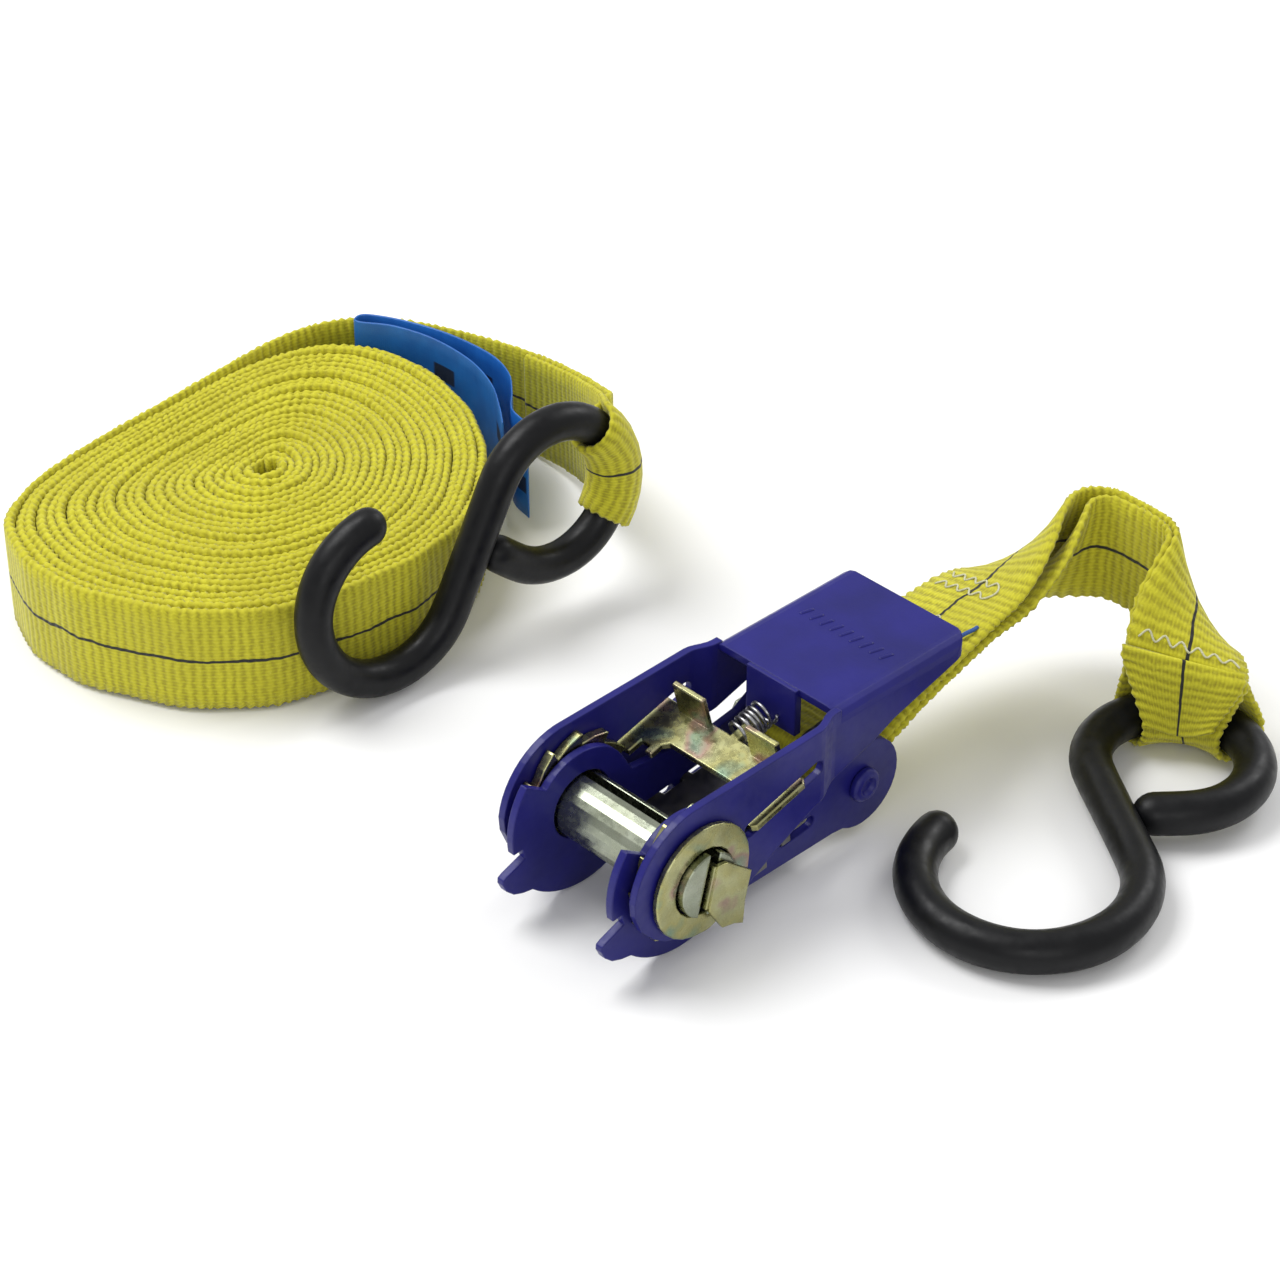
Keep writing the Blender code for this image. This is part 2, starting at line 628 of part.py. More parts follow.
def short_webbing(parent, hook_pivot):
    """Doubled webbing from the frame bolt to the ratchet hook, sewn into one endless loop."""
    origin = Vector((*RATCHET_AT, 0))
    route = [(Vector(centre) + origin, across) for centre, across, _ in SHORT_ROUTE]
    half = (WEBBING_THICK + PLY_GAP) / 2
    upper = ply_rows(route, 2, -half, [slack for _, _, slack in SHORT_ROUTE])
    lower = ply_rows(route, 2, half)
    radius = SLEEVE_RADIUS + GAP + WEBBING_THICK / 2 + 0.1
    bolt = origin + Vector((0, BOLT_AT[0], AXIS_HEIGHT + BOLT_AT[1]))
    bolt_loop = []
    for angle in range(85, 321, 25):
        turn = math.radians(angle)
        centre = bolt + Vector((0, math.cos(turn), math.sin(turn))) * radius
        bolt_loop.append(straight_row(centre, Vector((1, 0, 0))))
    eye_radius = WIRE_COATED + EYE_CLEARANCE + WEBBING_THICK / 2
    eye_loop = eye_loop_rows(hook_pivot.matrix_world, RATCHET_LOOP_ANGLE, eye_radius, lower[-1], upper[-1])
    front = rows_between(lower[-1], eye_loop[0], LEG_STEPS)
    back = rows_between(eye_loop[-1], upper[-1], LEG_STEPS)
    rows = lower + front + eye_loop + back + upper[::-1] + bolt_loop
    made = band("short_webbing", rows, True, WEBBING_THICK)
    return finish_part(smooth(made, 60), parent, YELLOW_WEBBING)


ROLL_RIM = [                    # hand-laid outline of the roll about its middle
    (44, -11), (44.5, 7), (38, 25), (21, 44), (1, 54.5), (-20, 57), (-37, 50), (-44.5, 32), (-43, 1),
    (-38, -34), (-28, -52), (-10, -58.5), (7, -56.5), (27, -46), (39, -31)]

TAIL_ROUTE = [                  # outer layer of the long strap's tail, about the ratchet's ground point
    ((-186.2, 49.0, 12.7), (0, 0, 1)),
    ((-187.4, 62.0, 12.7), (0, 0, 1)),
    ((-186.6, 74.5, 12.7), (0, 0, 1)),
    ((-181.5, 85.5, 12.7), (0, 0, 1)),
    ((-171.0, 93.5, 12.8), (0, 0, 1)),
    ((-156.0, 99.5, 12.9), (0, 0, 1)),
    ((-140.0, 103.2, 13.4), (-0.02, 0, 1)),
    ((-124.5, 102.0, 15.4), (-0.08, 0.03, 1)),
    ((-111.5, 96.8, 19.4), (-0.14, 0.08, 1)),
    ((-101.5, 90.6, 24.6), (-0.12, 0.08, 1)),
    ((-96.0, 87.0, 27.8), (-0.08, 0.05, 1)),
]
TAIL_DOUBLED_FROM = 6           # station where the sewn inner layer ends


def webbing_tail(parent, hook_pivot):
    """End of the long strap: off the roll, round its far end, through the hook's eye and sewn back."""
    origin = Vector((*RATCHET_AT, 0))
    route = [(Vector(centre) + origin, across) for centre, across in TAIL_ROUTE]
    step = 2
    outer = ply_rows(route, step, 0)
    inner = ply_rows(route, step, WEBBING_THICK + PLY_GAP)[TAIL_DOUBLED_FROM * step:]
    eye_radius = WIRE_COATED * STRAP_HOOK_SCALE + EYE_CLEARANCE + WEBBING_THICK / 2
    eye_loop = eye_loop_rows(hook_pivot.matrix_world, STRAP_LOOP_ANGLE, eye_radius, outer[-1], inner[-1])
    there = rows_between(outer[-1], eye_loop[0], LEG_STEPS)
    back = rows_between(eye_loop[-1], inner[-1], LEG_STEPS)
    rows = outer + there + eye_loop + back + inner[::-1]
    made = band("webbing_tail", rows, False, WEBBING_THICK)
    return finish_part(smooth(made, 60), parent, YELLOW_WEBBING)


def coiled_webbing(parent):
    """The rolled length of the long strap as one solid of its outer shape."""
    curve = bpy.data.curves.new("coiled_webbing", 'CURVE')
    curve.dimensions = '2D'
    curve.fill_mode = 'BOTH'
    curve.extrude = (ROLL_HEIGHT / 2 - 0.6) * MM
    curve.bevel_depth = 0.6 * MM
    curve.bevel_resolution = 0
    curve.offset = -0.6 * MM
    curve.resolution_u = 5
    curve.render_resolution_u = 0
    spline = curve.splines.new('BEZIER')
    spline.bezier_points.add(len(ROLL_RIM) - 1)
    for point, (x, y) in zip(spline.bezier_points, ROLL_RIM):
        point.co = (x * MM, y * MM, 0)
        point.handle_left_type = point.handle_right_type = 'AUTO'
    spline.use_cyclic_u = True
    source = bpy.data.objects.new("roll_outline", curve)
    MODEL.objects.link(source)
    roll = frozen(source, "coiled_webbing")
    return finish_part(smooth(roll), parent, YELLOW_WEBBING)


LABEL_ROUTE = [                 # folded label between the roll and the tail, about the ratchet's ground point
    (-118.5, 74.6), (-124.5, 79.0), (-133.0, 84.2), (-144.0, 87.6), (-157.0, 88.0), (-168.0, 85.2),
    (-175.2, 80.6), (-177.4, 81.2), (-176.4, 84.2), (-168.0, 88.6), (-156.0, 92.0), (-143.0, 92.8),
    (-134.0, 90.4), (-127.5, 85.6), (-121.5, 80.2), (-114.5, 78.4)]
LABEL_WIDTH = 25.0
LABEL_MIDDLE = 16.2
LABEL_THICK = 0.5


def label(parent):
    centres = smooth_path([Vector((x + RATCHET_AT[0], y + RATCHET_AT[1], LABEL_MIDDLE)) for x, y in LABEL_ROUTE], 3)
    up = Vector((0, 0, 1))
    rows = [[centre + up * w for w in (-LABEL_WIDTH / 2, LABEL_WIDTH / 2)] for centre in centres]
    made = band("label", rows, False, LABEL_THICK)
    return finish_part(smooth(made, 60), parent, LABEL_BLUE)


# ---------------------------------------------------------------- assembly

def build():
    ground = pivot("ratchet_ground", (*RATCHET_AT, 0))
    axis = pivot("spindle_axis", (0, 0, AXIS_HEIGHT), parent=ground)
    lever = pivot("handle_axis", (0, 0, 0), parent=axis)
    turning = pivot("spindle_turning", (0, 0, 0), parent=axis)
    drive = pivot("drive_pawl_slide", (0, 0, 0), (DRIVE_ANGLE, 0, 0), lever)
    lock = pivot("lock_pawl_slide", (0, *LOCK_ORIGIN), (LOCK_ANGLE, 0, 0), axis)
    short_hook = pivot("ratchet_hook_axis", RATCHET_HOOK_EYE, (RATCHET_HOOK_TILT, 0, 0), ground)
    long_hook = pivot("strap_hook_axis", STRAP_HOOK_EYE, (90 - STRAP_HOOK_LEAN, 0, 90 - STRAP_HOOK_YAW), ground)
    roll = pivot("roll_middle", (*ROLL_AT, ROLL_HEIGHT / 2), parent=ground)
    bpy.context.view_layer.update()

    frame_body(axis)
    frame_fasteners(axis)
    spindle(turning)
    handle(lever)
    drive_pawl(drive)
    lock_pawl(lock)
    coil_spring("drive_pawl_spring", *DRIVE_SPRING, SPRING_TURNS, drive)
    coil_spring("lock_pawl_spring", *LOCK_SPRING, SPRING_TURNS, lock)
    coated_hook("ratchet_hook", HOOK_BEND, HOOK_EYE, WIRE_COATED, short_hook, RATCHET_HOOK_TURN)
    coated_hook("strap_hook", STRAP_HOOK_BEND, HOOK_EYE, WIRE_COATED * STRAP_HOOK_SCALE, long_hook,
                STRAP_HOOK_TURN)
    short_webbing(None, short_hook)
    coiled_webbing(roll)
    webbing_tail(None, long_hook)
    label(None)


clear_scene()
MODEL = collection("ratchet_strap")
build()
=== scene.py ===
"""Looks of the ratchet strap set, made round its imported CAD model.

Lengths in this script are millimetres, turned into metres where they enter Blender.  Strap routes are
given from the point on the ground under the middle of the spindle, as they are in the CAD source.
"""
import math

import bmesh
import bpy
import numpy as np
from mathutils import Euler, Matrix, Vector


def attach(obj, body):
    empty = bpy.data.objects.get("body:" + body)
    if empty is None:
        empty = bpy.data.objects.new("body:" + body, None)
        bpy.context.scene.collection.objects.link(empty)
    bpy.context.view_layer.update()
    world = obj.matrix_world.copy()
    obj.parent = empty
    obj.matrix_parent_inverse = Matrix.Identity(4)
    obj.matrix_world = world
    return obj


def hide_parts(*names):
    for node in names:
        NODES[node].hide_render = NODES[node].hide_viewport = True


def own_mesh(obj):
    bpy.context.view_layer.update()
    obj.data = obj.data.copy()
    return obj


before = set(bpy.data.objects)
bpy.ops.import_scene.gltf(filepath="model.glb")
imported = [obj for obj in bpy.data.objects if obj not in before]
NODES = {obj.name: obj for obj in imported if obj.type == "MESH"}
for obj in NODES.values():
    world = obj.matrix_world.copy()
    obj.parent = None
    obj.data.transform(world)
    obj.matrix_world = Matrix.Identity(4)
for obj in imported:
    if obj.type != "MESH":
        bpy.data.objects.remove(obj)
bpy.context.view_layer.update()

MM = 0.001

# Ratchet. Places with two numbers are along Y and up, from the spindle
RATCHET_AT = np.array([54.44, -51.02, 0.0])
AXIS_HEIGHT = 19.6
GRIP_TOP = AXIS_HEIGHT + 17.8
BOLT_AT = (51.0, -6.5)
SLEEVE_RADIUS = 3.4
DRIVE_SPRING = {"start": 30.8, "end": 40.2, "radius": 2.8, "wire": 0.4,
                "origin": (0, 0), "slope": 15.0}
LOCK_SPRING = {"start": 12.9, "end": 21.4, "radius": 2.2, "wire": 0.35,
               "origin": (20.4, -10.0), "slope": 6.0}
DRIVE_SPRING_KEEP = 0.53        # share of its length for each spring, given to spring() as keep
LOCK_SPRING_KEEP = 0.65
SPRING_TURNS = 6
SPRING_STEPS = 28               # in each turn

# Hooks: radii and lengths of the wire, and angles in degrees in each hook's own plane
WIRE_COATED = 4.5
HOOK_BEND = 22.6
HOOK_EYE = 17.0
HOOK_SHANK = 28.7
HOOK_TIP_ANGLE = 129.0
HOOK_LEAVE_ANGLE = 371.8
EYE_END = 10.4                  # straight end of the wire, dipped over its cut face
STRAP_HOOK_SCALE = 0.93         # wire of the strap's hook against the ratchet's
STRAP_HOOK_BEND = HOOK_BEND * 0.84
RATCHET_HOOK_TURN = 46
STRAP_HOOK_TURN = -41.3
RATCHET_LOOP_ANGLE = 118        # middle of the webbing loop on the eye
STRAP_LOOP_ANGLE = 5
EYE_CLEARANCE = 0.45            # between the webbing and the coated wire
SLEEVE_CLEARANCE = 0.4

# Webbing
WEBBING_WIDTH = 25.0
WEBBING_THICK = 1.7
WEBBING_PULLED = WEBBING_THICK - 0.15
PLY_GAP = 0.2
RIB_PITCH = 2.1                 # between the cross ribs of the weave
RIB_HEIGHT = 0.055
YARN_PITCH = 0.85               # between the yarns across the strap
EDGE_FRAY = 0.24                # how far the yarn loops stand out along the edges
EDGE_TAPER = 0.88               # thickness at the edges against the middle
ROW_STEP = 0.525                # between rows of the webbing meshes
ROUTE_STEPS = 10                # rows in each span of a strap's route
LOOP_STEPS = 30                 # rows round a hook's wire
LEG_STEPS = 8                   # rows between a loop and the strap's layers
LABEL_THICK = 0.4
THREAD_RADIUS = 0.25
STITCH_LENGTH = 1.7             # across the strap
STITCH_SWING = 0.8              # to either side of the seam
STITCH_ROW_GAP = 3.2


def hook_axis(eye, rotation):
    """Matrix of a hook's own plane, in mm: eye centre at its origin, plane normal along its Z."""
    turn = Euler([math.radians(value) for value in rotation]).to_matrix().to_4x4()
    return np.array(Matrix.Translation(Vector(eye) + Vector(RATCHET_AT)) @ turn)


SHORT_HOOK = hook_axis((49.1, 108.9, 6.6), (1.6, 0, 0))                # lying, a little tipped
LONG_HOOK = hook_axis((-87.0, 61.0, 30.7), (90 - 3.4, 0, 90 - 4.6))    # standing beside the roll


# ---------------------------------------------------------------- material helpers

class Look:
    """A node material with a Principled shader and short ways to add and join nodes."""

    def __init__(self, name, roughness=0.5, metallic=0.0):
        self.material = bpy.data.materials.new(name)
        self.material.use_nodes = True
        self.tree = self.material.node_tree
        self.shader = self.tree.nodes["Principled BSDF"]
        self.shader.inputs["Roughness"].default_value = roughness
        self.shader.inputs["Metallic"].default_value = metallic

    def feed(self, socket, value):
        if isinstance(value, bpy.types.NodeSocket):
            self.tree.links.new(value, socket)
        elif isinstance(value, tuple) and len(value) == 3 and socket.type == 'RGBA':
            socket.default_value = (*value, 1)
        else:
            socket.default_value = value

    def place(self):
        """Coordinates in the part's frame, in mm."""
        where = self.tree.nodes.new("ShaderNodeTexCoord")
        scaled = self.tree.nodes.new("ShaderNodeVectorMath")
        scaled.operation = 'SCALE'
        self.tree.links.new(where.outputs["Object"], scaled.inputs[0])
        scaled.inputs["Scale"].default_value = 1.0 / MM
        return scaled.outputs[0]

    def noise(self, scale, detail, roughness=0.5):
        """Noise with features of about 1 / scale mm."""
        made = self.tree.nodes.new("ShaderNodeTexNoise")
        self.feed(made.inputs["Vector"], self.place())
        made.inputs["Scale"].default_value = scale
        made.inputs["Detail"].default_value = detail
        made.inputs["Roughness"].default_value = roughness
        return made.outputs["Fac"]

    def math(self, operation, a, b=0.0):
        made = self.tree.nodes.new("ShaderNodeMath")
        made.operation = operation
        self.feed(made.inputs[0], a)
        self.feed(made.inputs[1], b)
        return made.outputs[0]

    def ramp(self, value, stops):
        """stops: (position, colour) pairs."""
        made = self.tree.nodes.new("ShaderNodeValToRGB")
        self.feed(made.inputs[0], value)
        elements = made.color_ramp.elements
        while len(elements) < len(stops):
            elements.new(0.5)
        for element, (position, colour) in zip(elements, stops):
            element.position = position
            element.color = (*colour, 1)
        return made.outputs[0]

    def mix(self, amount, a, b):
        made = self.tree.nodes.new("ShaderNodeMix")
        made.data_type = 'RGBA'
        self.feed(made.inputs[0], amount)
        self.feed(made.inputs[6], a)
        self.feed(made.inputs[7], b)
        return made.outputs[2]

    def between(self, value, low, high, to_low=0.0, to_high=1.0):
        made = self.tree.nodes.new("ShaderNodeMapRange")
        self.feed(made.inputs[0], value)
        for socket, number in zip(made.inputs[1:5], (low, high, to_low, to_high)):
            socket.default_value = number
        return made.outputs[0]

    def bump(self, height, distance, strength=1.0, edge=0.0):
        """Relief of a height in mm; edge is the radius that sharp edges seem rounded to."""
        made = self.tree.nodes.new("ShaderNodeBump")
        if edge:
            rounded = self.tree.nodes.new("ShaderNodeBevel")
            rounded.samples = 6
            rounded.inputs["Radius"].default_value = edge * MM
            self.tree.links.new(rounded.outputs[0], made.inputs["Normal"])
        made.inputs["Distance"].default_value = distance * MM
        made.inputs["Strength"].default_value = strength
        self.feed(made.inputs["Height"], height)
        self.tree.links.new(made.outputs[0], self.shader.inputs["Normal"])

    def colour(self, value):
        self.feed(self.shader.inputs["Base Color"], value)

    def roughness(self, value):
        self.feed(self.shader.inputs["Roughness"], value)


def blue_paint():
    """Semi-gloss blue coat with a faint orange peel and a few rubbed spots."""
    look = Look("blue_paint", 0.34)
    cloud = look.noise(0.09, 4)
    rubbed = look.between(look.noise(1.6, 6, roughness=0.7), 0.67, 0.72)
    base = look.ramp(cloud, [(0.3, (0.009, 0.009, 0.120)), (0.7, (0.013, 0.012, 0.168))])
    look.colour(look.mix(look.math('MULTIPLY', rubbed, 0.35), base, (0.035, 0.033, 0.22)))
    look.roughness(look.between(look.noise(0.5, 5), 0.3, 0.7, 0.30, 0.46))
    look.bump(look.noise(1.1, 2), 0.02, 0.5, 0.55)
    look.shader.inputs["Specular IOR Level"].default_value = 0.26
    look.shader.inputs["Coat Weight"].default_value = 0.08
    look.shader.inputs["Coat Roughness"].default_value = 0.2
    return look.material


def zinc(name, stops, smoothest, roughest):
    """Plated steel: a drifting tint, a fine grain and soft stains."""
    look = Look(name, 0.3, 1.0)
    tint = look.ramp(look.noise(0.11, 2, roughness=0.45), stops)
    stain = look.between(look.noise(0.2, 2, roughness=0.4), 0.45, 0.8)
    look.colour(look.mix(look.math('MULTIPLY', stain, 0.45), tint, (0.16, 0.16, 0.09)))
    look.roughness(look.between(look.noise(0.7, 5), 0.3, 0.7, smoothest, roughest))
    look.bump(look.noise(3.0, 3), 0.01, 0.4, 0.25)
    return look.material


def black_coating():
    """Dipped vinyl: satin black with slow waves in its thickness and a little dust."""
    look = Look("black_coating", 0.36)
    dust = look.between(look.noise(1.3, 7, roughness=0.75), 0.6, 0.85)
    share = look.math('MULTIPLY', dust, 0.3)
    look.colour(look.mix(share, (0.003, 0.0032, 0.004), (0.014, 0.015, 0.017)))
    look.roughness(look.between(look.noise(0.35, 5), 0.3, 0.7, 0.30, 0.50))
    look.bump(look.noise(0.22, 2), 0.25, 0.5)
    look.shader.inputs["Specular IOR Level"].default_value = 0.24
    return look.material


def strap_coordinates(look):
    """Distance along the strap and across it from its middle, in mm, from the strap's own map."""
    grid = look.tree.nodes.new("ShaderNodeUVMap")
    grid.uv_map = "strap"
    parts = look.tree.nodes.new("ShaderNodeSeparateXYZ")
    look.tree.links.new(grid.outputs[0], parts.inputs[0])
    along = look.math('MULTIPLY', parts.outputs[0], WEBBING_WIDTH)
    across = look.math('MULTIPLY', look.math('SUBTRACT', parts.outputs[1], 0.5), WEBBING_WIDTH)
    return along, across


def wave(look, distance, pitch):
    """A sine of a distance in mm, from 0 to 1."""
    turned = look.math('MULTIPLY', distance, 2 * math.pi / pitch)
    return look.math('ADD', look.math('MULTIPLY', look.math('SINE', turned), 0.5), 0.5)


def yellow_webbing():
    """Woven polyester: ribs of short yarn floats, loose fibres, and a black line along the middle; its
    colour holds painted shade in the low parts of the weave.
    """
    look = Look("yellow_webbing", 0.8)
    along, across = strap_coordinates(look)
    wobble = look.math('MULTIPLY', look.math('SUBTRACT', look.noise(0.12, 2), 0.5), 2.2)
    stretched = look.math('MULTIPLY', look.math('SUBTRACT', look.noise(0.5, 2), 0.5), 1.6)
    rib = wave(look, look.math('ADD', along, stretched), RIB_PITCH)
    step = look.math('ROUND', look.math('DIVIDE', across, YARN_PITCH))
    floats = wave(look, look.math('ADD', along, look.math('MULTIPLY', step, RIB_PITCH / 2)), RIB_PITCH)
    yarn = look.math('MULTIPLY', wave(look, across, YARN_PITCH), look.between(floats, 0.0, 1.0, 0.3, 1.0))
    fibre = look.noise(1.7, 4, roughness=0.7)
    height = look.math('ADD', look.math('MULTIPLY', rib, 0.42), look.math('MULTIPLY', yarn, 0.30))
    height = look.math('ADD', height, look.math('MULTIPLY', fibre, 0.45))
    # Colour from the weave's height: painted shade, darker in the low parts between ribs, yarns and fibres
    # and lighter on their tops.
    painted_groove_shade = look.ramp(height, [(0.15, (0.26, 0.225, 0.003)), (0.45, (0.45, 0.415, 0.007)),
                               (0.8, (0.61, 0.575, 0.018))])
    worn = look.mix(look.between(look.noise(0.06, 3), 0.35, 0.7, 0.0, 0.4), painted_groove_shade, (0.38, 0.34, 0.005))
    pale = look.mix(look.between(look.noise(0.9, 5, roughness=0.75), 0.60, 0.74, 0.0, 0.5), worn,
                    (0.66, 0.63, 0.085))
    from_line = look.math('ABSOLUTE', look.math('ADD', across, wobble))
    line = look.between(from_line, 0.30, 0.46, 1.0, 0.0)
    look.colour(look.mix(line, pale, (0.010, 0.010, 0.008)))
    look.bump(height, 0.26, 0.65)
    look.shader.inputs["Sheen Weight"].default_value = 0.15
    look.shader.inputs["Sheen Roughness"].default_value = 0.5
    return look.material


def blue_label():
    """Smooth label cloth with a fine weave and plain dark bars for its print."""
    look = Look("blue_label", 0.45)
    along, across = strap_coordinates(look)
    weave = look.math('MULTIPLY', wave(look, along, 0.5), wave(look, across, 0.5))
    base = look.ramp(look.noise(0.12, 3), [(0.3, (0.009, 0.10, 0.38)), (0.7, (0.015, 0.155, 0.52))])
    bars = look.between(wave(look, along, 31.0), 0.86, 0.90)
    inside = look.between(look.math('ABSOLUTE', look.math('SUBTRACT', look.math('ABSOLUTE', across), 4.5)),
                          2.0, 2.3, 1.0, 0.0)
    printed = look.mix(look.math('MULTIPLY', bars, inside), base, (0.012, 0.02, 0.05))
    look.colour(printed)
    look.bump(weave, 0.04, 0.5)
    return look.material


def thread(name, colour):
    look = Look(name, 0.7)
    look.colour(look.ramp(look.noise(2.5, 3), [(0.3, tuple(c * 0.7 for c in colour)), (0.7, colour)]))
    look.bump(look.noise(4.0, 2), 0.06)
    return look.material


BLUE = blue_paint()
YELLOW_ZINC = zinc("yellow_zinc", [
    (0.28, (0.22, 0.31, 0.22)), (0.40, (0.38, 0.36, 0.15)), (0.52, (0.42, 0.42, 0.22)),
    (0.60, (0.38, 0.26, 0.21)), (0.68, (0.25, 0.34, 0.25)), (0.78, (0.50, 0.48, 0.26))], 0.18, 0.36)
BRIGHT_ZINC = zinc("bright_zinc", [(0.35, (0.27, 0.30, 0.22)), (0.65, (0.42, 0.45, 0.36))], 0.18, 0.34)
DARK_STEEL = zinc("dark_steel", [(0.35, (0.13, 0.13, 0.14)), (0.65, (0.24, 0.23, 0.22))], 0.3, 0.5)
SPRING_STEEL = zinc("spring_steel", [(0.35, (0.34, 0.34, 0.36)), (0.65, (0.50, 0.50, 0.50))], 0.2, 0.4)
COATING = black_coating()
WEBBING = yellow_webbing()
LABEL = blue_label()
WHITE_THREAD = thread("white_thread", (0.62, 0.61, 0.40))
BLUE_THREAD = thread("blue_thread", (0.03, 0.10, 0.35))


# ---------------------------------------------------------------- mesh helpers

def new_piece(name, mesh, material, body):
    mesh.materials.clear()
    mesh.materials.append(material)
    made = bpy.data.objects.new(name, mesh)
    bpy.context.scene.collection.objects.link(made)
    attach(made, body)
    return made


def ring_mesh(name, rings, closed=False, uvs=None):
    """Skin equal rings of points (count, ring, 3), in mm; a run that isn't closed gets flat caps."""
    count, around = rings.shape[:2]
    mesh = bpy.data.meshes.new(name)
    rows = np.arange(count if closed else count - 1)
    a = rows[:, None] * around + np.arange(around)[None, :]
    b = rows[:, None] * around + (np.arange(around)[None, :] + 1) % around
    up = ((rows + 1) % count)[:, None] * around
    c = up + (np.arange(around)[None, :] + 1) % around
    d = up + np.arange(around)[None, :]
    faces = np.stack([a, b, c, d], axis=-1).reshape(-1, 4).tolist()
    if not closed:
        faces.append(list(range(around))[::-1])
        faces.append(list(range((count - 1) * around, count * around)))
    mesh.from_pydata((rings.reshape(-1, 3) * MM).tolist(), [], faces)
    if uvs is not None:
        layer = mesh.uv_layers.new(name="strap")
        index = np.empty(len(mesh.loops), dtype=np.int32)
        mesh.loops.foreach_get("vertex_index", index)
        values = uvs.reshape(-1, 2)[index]
        if closed:
            seam = np.zeros(len(index), dtype=bool)
            last = (count - 1) * around * 4
            seam[last:last + around * 4] = True
            fix = seam & (values[:, 0] < uvs[..., 0].max() / 2)
            values[fix, 0] += uvs[..., 0].max() + ROW_STEP / WEBBING_WIDTH
        layer.data.foreach_set("uv", values.astype(np.float32).ravel())
    mesh.shade_smooth()
    return mesh


def unit(vectors):
    return vectors / np.maximum(np.linalg.norm(vectors, axis=-1, keepdims=True), 1e-9)


def spline(points, per_span):
    """Points on a smooth curve through the given ones."""
    points = np.array(points, float)
    padded = np.vstack([2 * points[0] - points[1], points, 2 * points[-1] - points[-2]])
    t = (np.arange(per_span) / per_span)[:, None]
    spans = []
    for a, b, c, d in zip(padded, padded[1:], padded[2:], padded[3:]):
        spans.append(0.5 * (2 * b + (c - a) * t + (2 * a - 5 * b + 4 * c - d) * t ** 2
                            + (3 * b - a - 3 * c + d) * t ** 3))
    return np.vstack(spans + [points[-1:]])


def swept(name, path, radii, sides):
    """A round bar along a path with a radius at each point, its frame carried along without twist."""
    tangents = unit(np.gradient(path, axis=0))
    side = unit(np.cross(tangents[0], (0.3, 0.2, 1.0)))
    around = np.linspace(0, 2 * math.pi, sides, endpoint=False)
    rings = []
    for point, tangent, radius in zip(path, tangents, radii):
        side = unit(side - tangent * np.dot(side, tangent))
        other = np.cross(tangent, side)
        rings.append(point + radius * (np.cos(around)[:, None] * side + np.sin(around)[:, None] * other))
    return ring_mesh(name, np.array(rings))


def rounded_ends(path, radius, steps=7):
    """A path and the radii along it for a bar with half-round ends."""
    distance = np.concatenate([[0], np.cumsum(np.linalg.norm(np.diff(path, axis=0), axis=1))])
    total = distance[-1]
    knots = radius * (1 - np.cos(np.linspace(0, math.pi / 2, steps)))
    middle = distance[(distance > radius) & (distance < total - radius)]
    at = np.concatenate([knots, middle, total - knots[::-1]])
    radii = np.full(len(at), float(radius))
    dome = np.maximum(np.sqrt(np.maximum(radius ** 2 - (radius - knots) ** 2, 0)), 0.05)
    radii[:steps] = dome
    radii[-steps:] = dome[::-1]
    points = np.stack([np.interp(at, distance, path[:, axis]) for axis in range(3)], axis=1)
    return points, radii


def arc(centre, radius, start, end, count):
    angles = np.radians(np.linspace(start, end, count))
    return np.stack([centre[0] + radius * np.cos(angles), centre[1] + radius * np.sin(angles)], axis=1)


def to_world(matrix, points):
    return points @ matrix[:3, :3].T + matrix[:3, 3]


# ---------------------------------------------------------------- hooks

def hook_path(bend, turn):
    """Centre line of an S hook in its own plane, about its eye's centre, in mm."""
    bend_arc = arc((0, 0), bend, HOOK_TIP_ANGLE, HOOK_LEAVE_ANGLE, 60)
    heading = math.radians(HOOK_LEAVE_ANGLE + 90)
    end = bend_arc[-1] + HOOK_SHANK * np.array([math.cos(heading), math.sin(heading)])
    entry = math.radians(HOOK_LEAVE_ANGLE - 180)
    eye_centre = end - HOOK_EYE * np.array([math.cos(entry), math.sin(entry)])
    straight = bend_arc[-1] + (end - bend_arc[-1]) * np.linspace(0, 1, 12)[1:-1, None]
    eye_arc = arc(eye_centre, HOOK_EYE, HOOK_LEAVE_ANGLE - 180, -90, 60)
    stub = eye_arc[-1] - np.array([1, 0]) * np.linspace(0, EYE_END, 6)[1:, None]
    flat = np.vstack([bend_arc, straight, eye_arc, stub]) - eye_centre
    c, s = math.cos(math.radians(turn)), math.sin(math.radians(turn))
    flat = flat @ np.array([[c, s], [-s, c]])
    return np.hstack([flat, np.zeros((len(flat), 1))])


def coated_hook(body, bend, radius, matrix, turn):
    """A hook's dip, a little uneven in thickness, over its wire and the wire's ends."""
    path = to_world(matrix, hook_path(bend, turn))
    for _ in range(3):
        path[1:-1] = (path[:-2] + 2 * path[1:-1] + path[2:]) / 4
    points, radii = rounded_ends(path, radius)
    distance = np.linspace(0, 1, len(points))
    radii = radii * (1 + 0.012 * np.sin(distance * 23) + 0.008 * np.sin(distance * 61 + 1))
    name = body + "_dip"
    piece = new_piece(name, swept(name, points, radii, 24), COATING, body)
    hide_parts(body + "_coating")


coated_hook("ratchet_hook", HOOK_BEND, WIRE_COATED, SHORT_HOOK, RATCHET_HOOK_TURN)
coated_hook("strap_hook", STRAP_HOOK_BEND, WIRE_COATED * STRAP_HOOK_SCALE, LONG_HOOK, STRAP_HOOK_TURN)


# ---------------------------------------------------------------- springs

